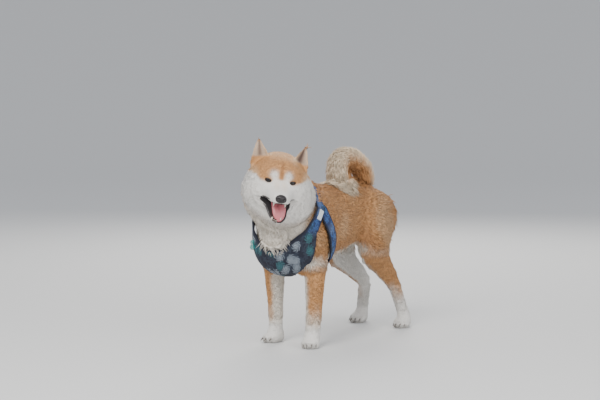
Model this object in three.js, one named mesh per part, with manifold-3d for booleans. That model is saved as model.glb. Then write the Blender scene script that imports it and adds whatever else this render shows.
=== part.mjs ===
// A life-size shiba inu standing in a fabric vest harness, its head turned to its left.
// Millimetres, +Z up. The dog faces -Y and its left side is +X. The floor is z = 0.
import * as THREE from "three";
import { mergeVertices } from "three/addons/utils/BufferGeometryUtils.js";
import Module from "manifold-3d";

const wasm = await Module();
wasm.setup();

// Driving dimensions of the dog
const WITHERS = 385; // height at the shoulder, with the coat
const CHEST_DEPTH = 208;
const CHEST_HALF_WIDTH = 88;
const EYE_SPACING = 52;
const EYE_RADIUS = 10.5;
const MUZZLE_LENGTH = 78; // from between the eyes to the nose tip
const EAR_HEIGHT = 62;
const EAR_HALF_WIDTH = 27;
const TAIL_RADIUS = 42; // out to the tips of the brush
const GAP = 0.3; // between touching pieces
const BLEND = 26; // how softly the big muscles run into one another
const CLOTH = 4; // thickness of the padded vest

// A frame of reference with named directions: every place is left, forward, up of an origin.
class Frame {
  constructor(origin, heading = 0, pitch = 0, roll = 0) {
    const rad = THREE.MathUtils.degToRad;
    this.origin = origin;
    const turn = new THREE.Matrix4()
      .makeRotationZ(rad(heading))
      .multiply(new THREE.Matrix4().makeRotationX(rad(pitch)))
      .multiply(new THREE.Matrix4().makeRotationY(rad(roll)));
    this.left = new THREE.Vector3(1, 0, 0).applyMatrix4(turn);
    this.forward = new THREE.Vector3(0, -1, 0).applyMatrix4(turn);
    this.up = new THREE.Vector3(0, 0, 1).applyMatrix4(turn);
  }
  way(left, forward, up) {
    return new THREE.Vector3()
      .addScaledVector(this.left, left)
      .addScaledVector(this.forward, forward)
      .addScaledVector(this.up, up);
  }
  at(left, forward, up) {
    return this.way(left, forward, up).add(this.origin);
  }
}

const body = new Frame(new THREE.Vector3());
// The head's origin lies midway between the eyes.
const HEAD_TURN = 40; // to its left
const HEAD_NOD = 6;
const HEAD_TILT = 8.5;
const head = new Frame(body.at(52, 258, 397), HEAD_TURN, HEAD_NOD, HEAD_TILT);

const SIDES = [
  { side: "left", s: 1 },
  { side: "right", s: -1 },
];

// Distance fields: each returns about how far a point is outside a form, negative inside.
const clamp01 = (t) => Math.min(1, Math.max(0, t));

function cone(a, b, ra, rb, thin = 1, thinWay = body.up) {
  const along = b.clone().sub(a);
  const lengthSq = along.lengthSq();
  return (x, y, z) => {
    const px = x - a.x;
    const py = y - a.y;
    const pz = z - a.z;
    const t = clamp01((px * along.x + py * along.y + pz * along.z) / lengthSq);
    let dx = px - t * along.x;
    let dy = py - t * along.y;
    let dz = pz - t * along.z;
    const extra = (dx * thinWay.x + dy * thinWay.y + dz * thinWay.z) * (1 / thin - 1);
    dx += extra * thinWay.x;
    dy += extra * thinWay.y;
    dz += extra * thinWay.z;
    return Math.sqrt(dx * dx + dy * dy + dz * dz) - (ra + (rb - ra) * t);
  };
}

function ellipsoid(frame, centre, radii) {
  const c = frame.at(...centre);
  const [rl, rf, ru] = radii;
  const { left: l, forward: f, up: u } = frame;
  return (x, y, z) => {
    const px = x - c.x;
    const py = y - c.y;
    const pz = z - c.z;
    const a = (px * l.x + py * l.y + pz * l.z) / rl;
    const b = (px * f.x + py * f.y + pz * f.z) / rf;
    const d = (px * u.x + py * u.y + pz * u.z) / ru;
    const k = Math.sqrt(a * a + b * b + d * d);
    const grade = Math.sqrt((a / rl) ** 2 + (b / rf) ** 2 + (d / ru) ** 2);
    return grade < 1e-9 ? -Math.min(rl, rf, ru) : (k * (k - 1)) / grade;
  };
}

// A smooth curve through values at given places, flat at its ends.
function smoothCurve(places, values) {
  const slope = values.map((v, i) => {
    if (i === 0 || i === values.length - 1) return 0;
    return (values[i + 1] - values[i - 1]) / (places[i + 1] - places[i - 1]);
  });
  return (s) => {
    let i = places.findIndex((p) => p > s) - 1;
    if (i < -1) i = places.length - 2;
    i = Math.min(Math.max(i, 0), places.length - 2);
    const span = places[i + 1] - places[i];
    const t = clamp01((s - places[i]) / span);
    const t2 = t * t;
    const t3 = t2 * t;
    return (
      values[i] * (2 * t3 - 3 * t2 + 1) +
      slope[i] * span * (t3 - 2 * t2 + t) +
      values[i + 1] * (3 * t2 - 2 * t3) +
      slope[i + 1] * span * (t3 - t2)
    );
  };
}

// A long form given by its profile: stations forward along a frame, each with top, bottom and half width.
function profile(frame, stations, power = 2.2) {
  const places = stations.map((s) => s.forward);
  const top = smoothCurve(places, stations.map((s) => s.top));
  const bottom = smoothCurve(places, stations.map((s) => s.bottom));
  const half = smoothCurve(places, stations.map((s) => s.half));
  const first = places[0];
  const last = places[places.length - 1];
  const { origin: o, left: l, forward: f, up: u } = frame;
  return (x, y, z) => {
    const px = x - o.x;
    const py = y - o.y;
    const pz = z - o.z;
    const s = px * f.x + py * f.y + pz * f.z;
    const inside = Math.min(last, Math.max(first, s));
    const t = top(inside);
    const b = bottom(inside);
    const w = half(inside);
    const h = (t - b) / 2;
    const a = Math.abs(px * l.x + py * l.y + pz * l.z) / w;
    const c = Math.abs(px * u.x + py * u.y + pz * u.z - (t + b) / 2) / h;
    const d = ((a ** power + c ** power) ** (1 / power) - 1) * Math.min(w, h);
    const past = Math.abs(s - inside);
    return past > 0 ? Math.sqrt(Math.max(d, 0) ** 2 + past * past) + Math.min(d, 0) * 0.2 : d;
  };
}

function blend(a, b, k) {
  const h = Math.max(k - Math.abs(a - b), 0) / k;
  return Math.min(a, b) - (h * h * k) / 4;
}

// Several forms run together, each with its own softness.
function together(forms) {
  return (x, y, z) => {
    let d = 1e6;
    for (const { form, k } of forms) d = blend(d, form(x, y, z), k);
    return d;
  };
}

const carved = (form, tool, k) => (x, y, z) => -blend(-form(x, y, z), tool(x, y, z), k);
const grown = (form, by) => (x, y, z) => form(x, y, z) - by;

// Regions: the common part of half spaces, each given by a point on its plane and the way out of it.
const halfSpace = (point, outward) => ({ point, outward: outward.clone().normalize() });

function regionField(region) {
  return (x, y, z) =>
    Math.max(
      ...region.map(
        ({ point: p, outward: n }) => (x - p.x) * n.x + (y - p.y) * n.y + (z - p.z) * n.z,
      ),
    );
}

function solidOf(geometry) {
  const plain = geometry.clone();
  plain.deleteAttribute("normal");
  plain.deleteAttribute("uv");
  const merged = mergeVertices(plain, 1e-4);
  const make = (triVerts) =>
    new wasm.Manifold(
      new wasm.Mesh({
        numProp: 3,
        vertProperties: merged.attributes.position.array,
        triVerts,
      }),
    );
  const faces = new Uint32Array(merged.index.array);
  const made = make(faces);
  if (made.volume() > 0) return made;
  for (let i = 0; i < faces.length; i += 3) {
    [faces[i + 1], faces[i + 2]] = [faces[i + 2], faces[i + 1]];
  }
  return make(faces);
}

const REGION_SIZE = 1500;

function regionSolid(region, grow) {
  return region
    .map(({ point, outward }) => {
      const turn = new THREE.Quaternion().setFromUnitVectors(body.up, outward);
      const centre = point.clone().addScaledVector(outward, grow - REGION_SIZE / 2);
      const box = new THREE.BoxGeometry(REGION_SIZE, REGION_SIZE, REGION_SIZE);
      return solidOf(box.applyQuaternion(turn).translate(centre.x, centre.y, centre.z));
    })
    .reduce((a, b) => a.intersect(b));
}

// How far from a point, in a direction, a field is left, or the reach where it isn't.
function castRay(field, from, way, reach, step = 3) {
  const value = (r) => field(from.x + way.x * r, from.y + way.y * r, from.z + way.z * r);
  if (value(0) > 0) return 0.4;
  let low = 0;
  let high = step;
  while (value(high) < 0) {
    low = high;
    high += step;
    if (high >= reach) return reach;
  }
  for (let i = 0; i < 14; i++) {
    const middle = (low + high) / 2;
    if (value(middle) < 0) low = middle;
    else high = middle;
  }
  return (low + high) / 2;
}

function closedGeometry(points, triangles) {
  const geometry = new THREE.BufferGeometry().setFromPoints(points);
  geometry.setIndex(triangles);
  return geometry;
}

// A closed tube whose rings are found by casting rays from each section's centre to the field.
function castTube({ sections, sides, reach, field, lead = 0 }) {
  const points = [];
  const triangles = [];
  for (const { centre, u, v } of sections) {
    for (let j = 0; j < sides; j++) {
      const angle = ((j + lead) / sides) * 2 * Math.PI;
      const way = u.clone().multiplyScalar(Math.cos(angle)).addScaledVector(v, Math.sin(angle));
      points.push(centre.clone().addScaledVector(way, castRay(field, centre, way, reach)));
    }
  }
  for (let i = 0; i + 1 < sections.length; i++) {
    for (let j = 0; j < sides; j++) {
      const a = i * sides + j;
      const b = i * sides + ((j + 1) % sides);
      triangles.push(a, b, b + sides, a, b + sides, a + sides);
    }
  }
  const capEnd = (ring, next, flip) => {
    const { centre } = sections[ring];
    const way = centre.clone().sub(sections[next].centre).normalize();
    const tip = points.length;
    points.push(centre.clone().addScaledVector(way, castRay(field, centre, way, reach)));
    for (let j = 0; j < sides; j++) {
      const a = ring * sides + j;
      const b = ring * sides + ((j + 1) % sides);
      triangles.push(...(flip ? [b, a, tip] : [a, b, tip]));
    }
  };
  capEnd(0, 1, true);
  capEnd(sections.length - 1, sections.length - 2, false);
  return closedGeometry(points, triangles);
}

// Sections at even or eased steps along a line, all facing the same way.
function straightSections(from, to, count, u, v, ease = (t) => t) {
  return Array.from({ length: count }, (_, i) => ({
    centre: from.clone().lerp(to, ease(i / (count - 1))),
    u,
    v,
  }));
}

// Sections that turn evenly from facing one way to facing another.
function fanSections(from, to, firstWay, lastWay, count) {
  return Array.from({ length: count }, (_, i) => {
    const t = i / (count - 1);
    const way = firstWay.clone().lerp(lastWay, t).normalize();
    const v = body.up.clone().addScaledVector(way, -body.up.dot(way)).normalize();
    return { centre: from.clone().lerp(to, t), u: v.clone().cross(way), v };
  });
}

// Sections square to a curve, kept from twisting by a guide direction.
function curveSections(points, count, guide) {
  const curve = new THREE.CatmullRomCurve3(points);
  return Array.from({ length: count }, (_, i) => {
    const t = i / (count - 1);
    const way = curve.getTangentAt(t);
    const v = guide.clone().addScaledVector(way, -guide.dot(way)).normalize();
    return { centre: curve.getPointAt(t), u: v.clone().cross(way), v };
  });
}

// The way straight out of a form at a point
function outOf(field, p, e = 1.5) {
  return new THREE.Vector3(
    field(p.x + e, p.y, p.z) - field(p.x - e, p.y, p.z),
    field(p.x, p.y + e, p.z) - field(p.x, p.y - e, p.z),
    field(p.x, p.y, p.z + e) - field(p.x, p.y, p.z - e),
  ).normalize();
}

// The trunk, from the rump to the breast
const BACK = WITHERS - 8;
const BELLY = WITHERS - CHEST_DEPTH;
const trunk = profile(body, [
  { forward: -222, top: 322, bottom: 276, half: 20 },
  { forward: -205, top: 345, bottom: 245, half: 46 },
  { forward: -160, top: BACK - 14, bottom: 226, half: 66 },
  { forward: -90, top: BACK - 8, bottom: 217, half: 70 },
  { forward: -10, top: BACK, bottom: 196, half: 80 },
  { forward: 70, top: WITHERS, bottom: BELLY + 3, half: CHEST_HALF_WIDTH },
  { forward: 130, top: WITHERS - 8, bottom: BELLY - 8, half: CHEST_HALF_WIDTH - 2 },
  { forward: 185, top: WITHERS - 60, bottom: BELLY + 2, half: 72 },
  { forward: 220, top: WITHERS - 110, bottom: BELLY + 44, half: 34 },
]);

const neckForms = [
  { form: cone(body.at(0, 112, 300), body.at(6, 176, 342), 78, 76), k: 40 },
  { form: cone(body.at(6, 176, 342), head.at(0, -62, -6), 76, 60), k: 30 },
  { form: ellipsoid(head, [2, -52, -66], [72, 44, 52]), k: 30 },
];

// The head, from the occiput to the muzzle
const headForms = [
  { form: ellipsoid(head, [0, -46, 10], [57, 60, 48]), k: 20 },
  { form: ellipsoid(head, [0, -14, 10], [42, 28, 32]), k: 16 },
  ...SIDES.flatMap(({ s }) => [
    { form: ellipsoid(head, [s * 38, -30, -24], [34, 40, 38]), k: 22 },
    { form: ellipsoid(head, [s * 46, -50, -34], [36, 36, 48]), k: 24 },
  ]),
  {
    form: profile(
      head,
      [
        { forward: -20, top: 18, bottom: -60, half: 46 },
        { forward: 8, top: 5, bottom: -50, half: 38 },
        { forward: 34, top: -8, bottom: -46, half: 29 },
        { forward: MUZZLE_LENGTH - 18, top: -16, bottom: -47, half: 23 },
        { forward: MUZZLE_LENGTH - 6, top: -21, bottom: -46, half: 17 },
        { forward: MUZZLE_LENGTH, top: -28, bottom: -40, half: 9 },
      ],
      2.4,
    ),
    k: 12,
  },
];

// The lower jaw hangs open: the mouth runs from its corner under the eye along a level upper
// line and a lower line that drops steeply.
const MOUTH_CORNER = { left: 41, forward: 2, up: -39 };
const JAW_DROP = 53;
const mouthPoint = head.at(0, MOUTH_CORNER.forward, MOUTH_CORNER.up);
const jawFrame = new Frame(mouthPoint, HEAD_TURN, HEAD_NOD + JAW_DROP, HEAD_TILT);
const jawForm = profile(
  jawFrame,
  [
    { forward: -34, top: 6, bottom: -40, half: 40 },
    { forward: 0, top: 6, bottom: -34, half: 36 },
    { forward: 27, top: 4, bottom: -24, half: 26 },
    { forward: 50, top: 3, bottom: -15, half: 18 },
    { forward: 64, top: 1, bottom: -9, half: 10 },
  ],
  2.3,
);
const mouthSides = SIDES.map(({ s }) =>
  halfSpace(head.at(s * MOUTH_CORNER.left, MOUTH_CORNER.forward, 0), head.way(s, 0, 0)),
);
const mouthWedge = regionField([
  halfSpace(mouthPoint, head.way(0, 0.04, 1)),
  halfSpace(mouthPoint, jawFrame.way(0, 0, -1)),
  ...mouthSides,
]);

// Legs: named joints, each as left, forward, up of the body's origin
const LEGS = {
  fore_left: {
    joints: [[58, 126, 262], [62, 127, 196], [62, 134, 70], [61, 138, 30]],
    radii: [50, 28, 19, 18],
    paw: [61, 144],
    toeOut: 26,
  },
  fore_right: {
    joints: [[-58, 118, 262], [-62, 118, 196], [-59, 117, 70], [-58, 118, 30]],
    radii: [50, 29, 18, 17],
    paw: [-59, 124],
    toeOut: -16,
  },
  hind_left: {
    joints: [[44, -170, 285], [61, -140, 206], [67, -232, 106], [82, -256, 30]],
    radii: [72, 46, 17, 15],
    paw: [84, -246],
    toeOut: 6,
  },
  hind_right: {
    joints: [[-44, -172, 285], [-57, -158, 200], [-53, -282, 104], [-53, -270, 30]],
    radii: [72, 46, 17, 15],
    paw: [-54, -258],
    toeOut: 0,
  },
};
const LEG_NAMES = Object.keys(LEGS);
const isFore = (name) => name.startsWith("fore");
const sideOf = (name) => (name.endsWith("left") ? 1 : -1);

for (const leg of Object.values(LEGS)) {
  leg.at = leg.joints.map((j) => body.at(...j));
  leg.ground = new Frame(body.at(leg.paw[0], leg.paw[1], 0), leg.toeOut);
}

// Four toes fan out ahead of each pad: left and forward of the paw's middle.
const TOES = [
  { left: -14.5, forward: 11 },
  { left: -5.5, forward: 20 },
  { left: 5.5, forward: 20 },
  { left: 14.5, forward: 11 },
];

const legForms = LEG_NAMES.flatMap((name) => {
  const { at, radii, ground } = LEGS[name];
  const lower = isFore(name) ? { thin: 1, k: 14 } : { thin: 0.72, k: 20 };
  return [
    { form: cone(at[0], at[1], radii[0], radii[1], 0.72, body.left), k: BLEND },
    { form: cone(at[1], at[2], radii[1], radii[2], lower.thin, body.left), k: lower.k },
    { form: cone(at[2], at[3], radii[2], radii[3]), k: 8 },
    { form: ellipsoid(ground, [0, -3, 13], [19, 25, 19]), k: 12 },
    ...TOES.map(({ left, forward }) => ({
      form: ellipsoid(ground, [left, forward, 10], [7.5, 12, 11.5]),
      k: 3,
    })),
  ];
});

const flesh = together([
  { form: trunk, k: 1 },
  ...neckForms,
  ...headForms,
  { form: jawForm, k: 10 },
  ...legForms,
]);
const dogField = carved(flesh, mouthWedge, 4);

// Where the body is parted
const flipped = ({ point, outward }) => ({ point, outward: outward.clone().negate() });
const NECK_CUT = halfSpace(body.at(0, 190, 290), body.way(0, 0.885, 0.466));
const HEAD_CUT = halfSpace(head.at(0, -60, -24), head.way(0, 0.87, 0.49));

const jawRegion = [
  halfSpace(jawFrame.at(0, 0, -1), head.way(0, 0.3, 1)),
  halfSpace(jawFrame.at(0, -6, 0), head.way(0, -1, 0.1)),
  ...SIDES.map(({ s }) => halfSpace(head.at(s * 37, 0, 0), head.way(s, 0, 0))),
];

const legRegions = {};
for (const name of LEG_NAMES) {
  const s = sideOf(name);
  const { joints } = LEGS[name];
  legRegions[name] = isFore(name)
    ? [
        halfSpace(body.at(s * 30, 130, 184), body.way(-s * 0.58, 0, 0.82)),
        halfSpace(body.at(s * 22, 130, 170), body.way(-s, 0, 0)),
        halfSpace(body.at(0, joints[1][1] - 36, 190), body.way(0, -1, 0.25)),
        halfSpace(body.at(0, joints[1][1] + 54, 190), body.way(0, 1, 0.1)),
      ]
    : [
        halfSpace(body.at(s * 22, -150, 196), body.way(-s * 0.95, 0, 0.31)),
        halfSpace(body.at(0, joints[1][1] + 44, 215), body.way(0, 1, 0.12)),
      ];
}

const away = (region, margin = 14) => {
  const inside = regionField(region);
  return (x, y, z) => -inside(x, y, z) - margin;
};
const within = (region, margin = 14) => {
  const inside = regionField(region);
  return (x, y, z) => inside(x, y, z) - margin;
};
const allOf = (...fields) => (x, y, z) => Math.max(...fields.map((f) => f(x, y, z)));

const HALF_GAP = GAP / 2;

// A node's solid: cast from the field, then parted from its neighbours by their common planes.
function fleshSolid({ keep = [], drop = [], field = dogField, gap = HALF_GAP, ...tube }) {
  const limits = [...keep.map((r) => within(r)), ...drop.map((r) => away(r))];
  let made = solidOf(castTube({ ...tube, field: allOf(field, ...limits) }));
  for (const region of keep) made = made.intersect(regionSolid(region, -gap));
  for (const region of drop) made = made.subtract(regionSolid(region, gap));
  return largest(made);
}

// The largest closed surface of a solid: loose scraps go, and a sealed hollow is filled.
function largest(made) {
  const { numProp, vertProperties, triVerts } = made.getMesh();
  const parent = Array.from({ length: vertProperties.length / numProp }, (_, i) => i);
  const rootOf = (i) => {
    while (parent[i] !== i) {
      parent[i] = parent[parent[i]];
      i = parent[i];
    }
    return i;
  };
  for (let i = 0; i < triVerts.length; i += 3) {
    parent[rootOf(triVerts[i + 1])] = rootOf(triVerts[i]);
    parent[rootOf(triVerts[i + 2])] = rootOf(triVerts[i]);
  }
  const surfaces = new Map();
  const corner = (i) => new THREE.Vector3().fromArray(vertProperties, triVerts[i] * numProp);
  for (let i = 0; i < triVerts.length; i += 3) {
    const key = rootOf(triVerts[i]);
    if (!surfaces.has(key)) surfaces.set(key, { volume: 0, faces: [] });
    const surface = surfaces.get(key);
    surface.volume += corner(i).cross(corner(i + 1)).dot(corner(i + 2)) / 6;
    surface.faces.push(triVerts[i], triVerts[i + 1], triVerts[i + 2]);
  }
  const best = [...surfaces.values()].reduce((a, b) => (b.volume > a.volume ? b : a));
  if (best.faces.length === triVerts.length) return made;
  return new wasm.Manifold(new wasm.Mesh({ numProp, vertProperties, triVerts: new Uint32Array(best.faces) }));
}

const dog = new THREE.Group();

function addNode(name, made, material) {
  const { numProp, vertProperties, triVerts } = made.getMesh();
  const positions = [];
  for (let i = 0; i < vertProperties.length; i += numProp) {
    positions.push(vertProperties[i], vertProperties[i + 1], vertProperties[i + 2]);
  }
  const geometry = new THREE.BufferGeometry();
  geometry.setAttribute("position", new THREE.Float32BufferAttribute(positions, 3));
  geometry.setIndex(Array.from(triVerts));
  geometry.computeVertexNormals();
  const mesh = new THREE.Mesh(geometry, material);
  mesh.name = name;
  dog.add(mesh);
  return made;
}

const paint = (color, roughness, metalness = 0) =>
  new THREE.MeshStandardMaterial({ color, roughness, metalness });
const RED_COAT = paint("#c98a52", 0.9);
const WHITE_COAT = paint("#efe6d8", 0.9);
const BLACK_SKIN = paint("#1b1718", 0.45);
const EYE = paint("#20110b", 0.1);
const TONGUE = paint("#b35468", 0.4);
const NAVY_CLOTH = paint("#18223f", 0.85);
const TEAL_METAL = paint("#2f9a90", 0.25, 0.6);
const LABEL_TAPE = paint("#d9d6cc", 0.7);

const solids = {};

function addFlesh(name, tube, material) {
  solids[name] = fleshSolid(tube);
  // The same form a hair's breadth larger cuts the pieces that sit against it.
  solids[name + "_clear"] = fleshSolid({ ...tube, field: grown(dogField, GAP), gap: -GAP });
  addNode(name, solids[name], material);
}

// A tapering bar along a curve: its half sizes across and through, from root to tip.
function bar({ points, count, sides, across, through = across, guide = body.left }) {
  const sections = curveSections(points, count, guide);
  const rings = [];
  const triangles = [];
  sections.forEach(({ centre, u, v }, i) => {
    const t = i / (count - 1);
    for (let j = 0; j < sides; j++) {
      const angle = ((j + 0.5) / sides) * 2 * Math.PI;
      rings.push(
        centre
          .clone()
          .addScaledVector(v, across(t) * Math.cos(angle))
          .addScaledVector(u, through(t) * Math.sin(angle)),
      );
    }
  });
  for (let i = 0; i + 1 < count; i++) {
    for (let j = 0; j < sides; j++) {
      const a = i * sides + j;
      const b = i * sides + ((j + 1) % sides);
      triangles.push(a, b, b + sides, a, b + sides, a + sides);
    }
  }
  const first = rings.length;
  rings.push(sections[0].centre.clone(), sections[count - 1].centre.clone());
  for (let j = 0; j < sides; j++) {
    const next = (j + 1) % sides;
    triangles.push(next, j, first);
    triangles.push((count - 1) * sides + j, (count - 1) * sides + next, first + 1);
  }
  return solidOf(closedGeometry(rings, triangles));
}

function ball(frame, centre, radii, rings = 10, sides = 16) {
  const geometry = new THREE.SphereGeometry(1, sides, rings).scale(radii[0], radii[2], radii[1]);
  const basis = new THREE.Matrix4().makeBasis(frame.left, frame.up, frame.forward.clone());
  const place = frame.at(...centre);
  return solidOf(geometry.applyMatrix4(basis.setPosition(place)));
}

const join = (pieces) => pieces.reduce((a, b) => a.add(b));
const cutBy = (made, tools) => tools.reduce((a, b) => a.subtract(b), made);

// Torso
addFlesh(
  "torso",
  {
    sections: straightSections(
      body.at(0, -208, 302),
      body.at(0, 196, 258),
      29,
      body.left,
      body.up,
      (t) => t - 0.03 * Math.sin(2 * Math.PI * t),
    ),
    sides: 32,
    reach: 230,
    keep: [[NECK_CUT]],
    drop: Object.values(legRegions),
  },
  RED_COAT,
);

// Neck
addFlesh(
  "neck",
  {
    sections: fanSections(
      body.at(0, 181, 308).addScaledVector(NECK_CUT.outward, -12),
      head.at(0, -58, -26).addScaledVector(HEAD_CUT.outward, 12),
      NECK_CUT.outward,
      HEAD_CUT.outward,
      12,
    ),
    sides: 28,
    reach: 150,
    keep: [[flipped(NECK_CUT)], [HEAD_CUT]],
  },
  WHITE_COAT,
);

// Head: skull and upper jaw in one, with lids round the eyes
const headTube = {
  sections: straightSections(head.at(0, -92, 4), head.at(0, MUZZLE_LENGTH - 7, -32), 26, head.left, head.up),
  sides: 30,
  reach: 120,
  keep: [[flipped(HEAD_CUT)], [flipped(NECK_CUT)]],
  drop: [jawRegion],
};
solids.head_clear = fleshSolid({ ...headTube, field: grown(dogField, GAP), gap: -GAP });

const LID = 2.2;
const eyes = SIDES.map(({ side, s }) => {
  const frame = new Frame(
    head.at(s * (EYE_SPACING / 2), 1, 0),
    HEAD_TURN + s * 14,
    HEAD_NOD - 8,
    HEAD_TILT - s * 9,
  );
  const r = EYE_RADIUS;
  return {
    side,
    opening: ball(frame, [0, 12, 0], [8.6, 16, 4.6], 8, 14),
    eyeball: ball(frame, [0, 0, 0], [r, r, r], 9, 14),
    lids: ball(frame, [0, 0, 0], [r + LID, r + LID, r + LID], 8, 12),
    socket: ball(frame, [0, 0, 0], [r + GAP, r + GAP, r + GAP], 9, 14),
  };
});

// The lips follow the edge of the mouth, found by casting across its plane.
function lipPoints(origin, forward, field, spread = 105) {
  return Array.from({ length: 13 }, (_, i) => {
    const angle = THREE.MathUtils.degToRad((i / 6 - 1) * spread);
    const way = forward
      .clone()
      .multiplyScalar(Math.cos(angle))
      .addScaledVector(head.left, Math.sin(angle));
    return origin.clone().addScaledVector(way, castRay(field, origin, way, 90) - 1.2);
  });
}

const lipTaper = (t) => 0.8 + 1.6 * Math.sin(Math.PI * Math.min(1, Math.max(0, t))) ** 0.5;
const upperLip = bar({
  points: lipPoints(mouthPoint.clone().add(head.way(0, 14, 1.6)), head.forward, dogField),
  count: 15,
  sides: 5,
  across: lipTaper,
  guide: head.up,
});
const lowerLip = bar({
  points: lipPoints(
    jawFrame.at(0, 18, -1.8),
    jawFrame.forward,
    dogField,
  ),
  count: 15,
  sides: 5,
  across: lipTaper,
  guide: head.up,
});

const tooth = (from, to, radius) =>
  bar({ points: [from, to], count: 3, sides: 6, across: (t) => radius * (1.02 - t), guide: head.left });
const upperTeeth = SIDES.map(({ s }) => tooth(head.at(s * 14, 58, -36), head.at(s * 14.5, 61, -52), 3.6));
const lowerTeeth = SIDES.map(({ s }) => {
  return tooth(jawFrame.at(s * 10, 52, -8), jawFrame.at(s * 10.5, 52, 8), 3.2);
});

let skull = fleshSolid(headTube);
for (const { lids, socket, opening } of eyes) {
  skull = skull.add(lids).subtract(socket).subtract(opening);
}
skull = largest(join([skull, upperLip, ...upperTeeth]));
solids.head = skull;
addNode("head", skull, RED_COAT);
for (const { side, eyeball } of eyes) addNode("eye_" + side, eyeball, EYE);

const jawTube = {
  sections: straightSections(
    jawFrame.at(0, -4, -16),
    jawFrame.at(0, 58, -7),
    9,
    head.left,
    jawFrame.up,
  ),
  sides: 20,
  reach: 70,
  keep: [jawRegion, [flipped(HEAD_CUT)], [flipped(NECK_CUT)]],
};
solids.jaw_clear = fleshSolid({ ...jawTube, field: grown(dogField, GAP), gap: -GAP });
const jaw = largest(join([fleshSolid(jawTube), ...lowerTeeth, lowerLip]).subtract(solids.head_clear));
addNode("lower_jaw", jaw, WHITE_COAT);

// Nose pad with its two nostrils
const noseBall = ball(head, [0, MUZZLE_LENGTH - 6, -29], [13.5, 11, 10.5], 10, 16);
const nostrils = SIDES.map(({ s }) => ball(head, [s * 6.5, MUZZLE_LENGTH + 6, -30], [3.2, 5, 3.2], 6, 8));
addNode("nose", largest(cutBy(noseBall, [solids.head_clear, upperLip, ...nostrils])), BLACK_SKIN);

// Tongue, lying along the floor of the open mouth and curling over at its tip
const tongueBar = bar({
  points: [
    jawFrame.at(0, -6, 3),
    jawFrame.at(0, 14, 7),
    jawFrame.at(0, 36, 8),
    jawFrame.at(0, 52, 5),
    jawFrame.at(0, 60, 1),
  ],
  count: 12,
  sides: 12,
  across: (t) => 17 * Math.sqrt(1.03 - t ** 4),
  through: (t) => 4.6 * Math.sqrt(1.03 - t ** 3),
  guide: head.left,
});
const tongueField = cutBy(tongueBar, [solids.head_clear, solids.jaw_clear, lowerLip, ...lowerTeeth]);
addNode("tongue", largest(tongueField), TONGUE);

// Ears: cups lofted from crescent sections, open to the front
const EAR_ROOTS = { left: [42, -46, 35], right: [-46, -46, 40] };
for (const { side, s } of SIDES) {
  const frame = new Frame(head.at(...EAR_ROOTS[side]), HEAD_TURN + s * 24, HEAD_NOD - 4, HEAD_TILT + s * 15);
  const rows = 9;
  const arc = 9;
  const points = [];
  const triangles = [];
  const ring = 2 * arc;
  for (let i = 0; i < rows; i++) {
    const t = i / (rows - 1);
    const up = -14 + (EAR_HEIGHT + 2) * t;
    const half = EAR_HALF_WIDTH * (1 - 0.97 * t ** 1.25) + 0.4;
    const depth = 0.75 * half;
    const wall = 3.4 - 1.6 * t;
    const lean = 6 * t - 10 * t * t;
    for (let j = 0; j < ring; j++) {
      const outer = j < arc;
      const turn = Math.PI * ((outer ? j : ring - 1 - j) / (arc - 1));
      const shrink = outer ? 0 : Math.min(wall, half * 0.35);
      const sweep = outer ? depth : Math.max(depth * 0.5 - shrink * 0.3, 0.15);
      points.push(
        frame.at((half - shrink) * Math.cos(turn), lean + 6 - sweep * Math.sin(turn) - (outer ? 0 : 0.6), up),
      );
    }
  }
  for (let i = 0; i + 1 < rows; i++) {
    for (let j = 0; j < ring; j++) {
      const a = i * ring + j;
      const b = i * ring + ((j + 1) % ring);
      triangles.push(a, b, b + ring, a, b + ring, a + ring);
    }
  }
  for (let j = 0; j + 1 < arc; j++) {
    const low = [j, j + 1, ring - 2 - j, ring - 1 - j];
    const high = low.map((k) => k + (rows - 1) * ring);
    triangles.push(low[1], low[0], low[3], low[1], low[3], low[2]);
    triangles.push(high[0], high[1], high[2], high[0], high[2], high[3]);
  }
  const ear = solidOf(closedGeometry(points, triangles));
  addNode("ear_" + side, largest(ear.subtract(solids.head_clear)), RED_COAT);
}

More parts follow.
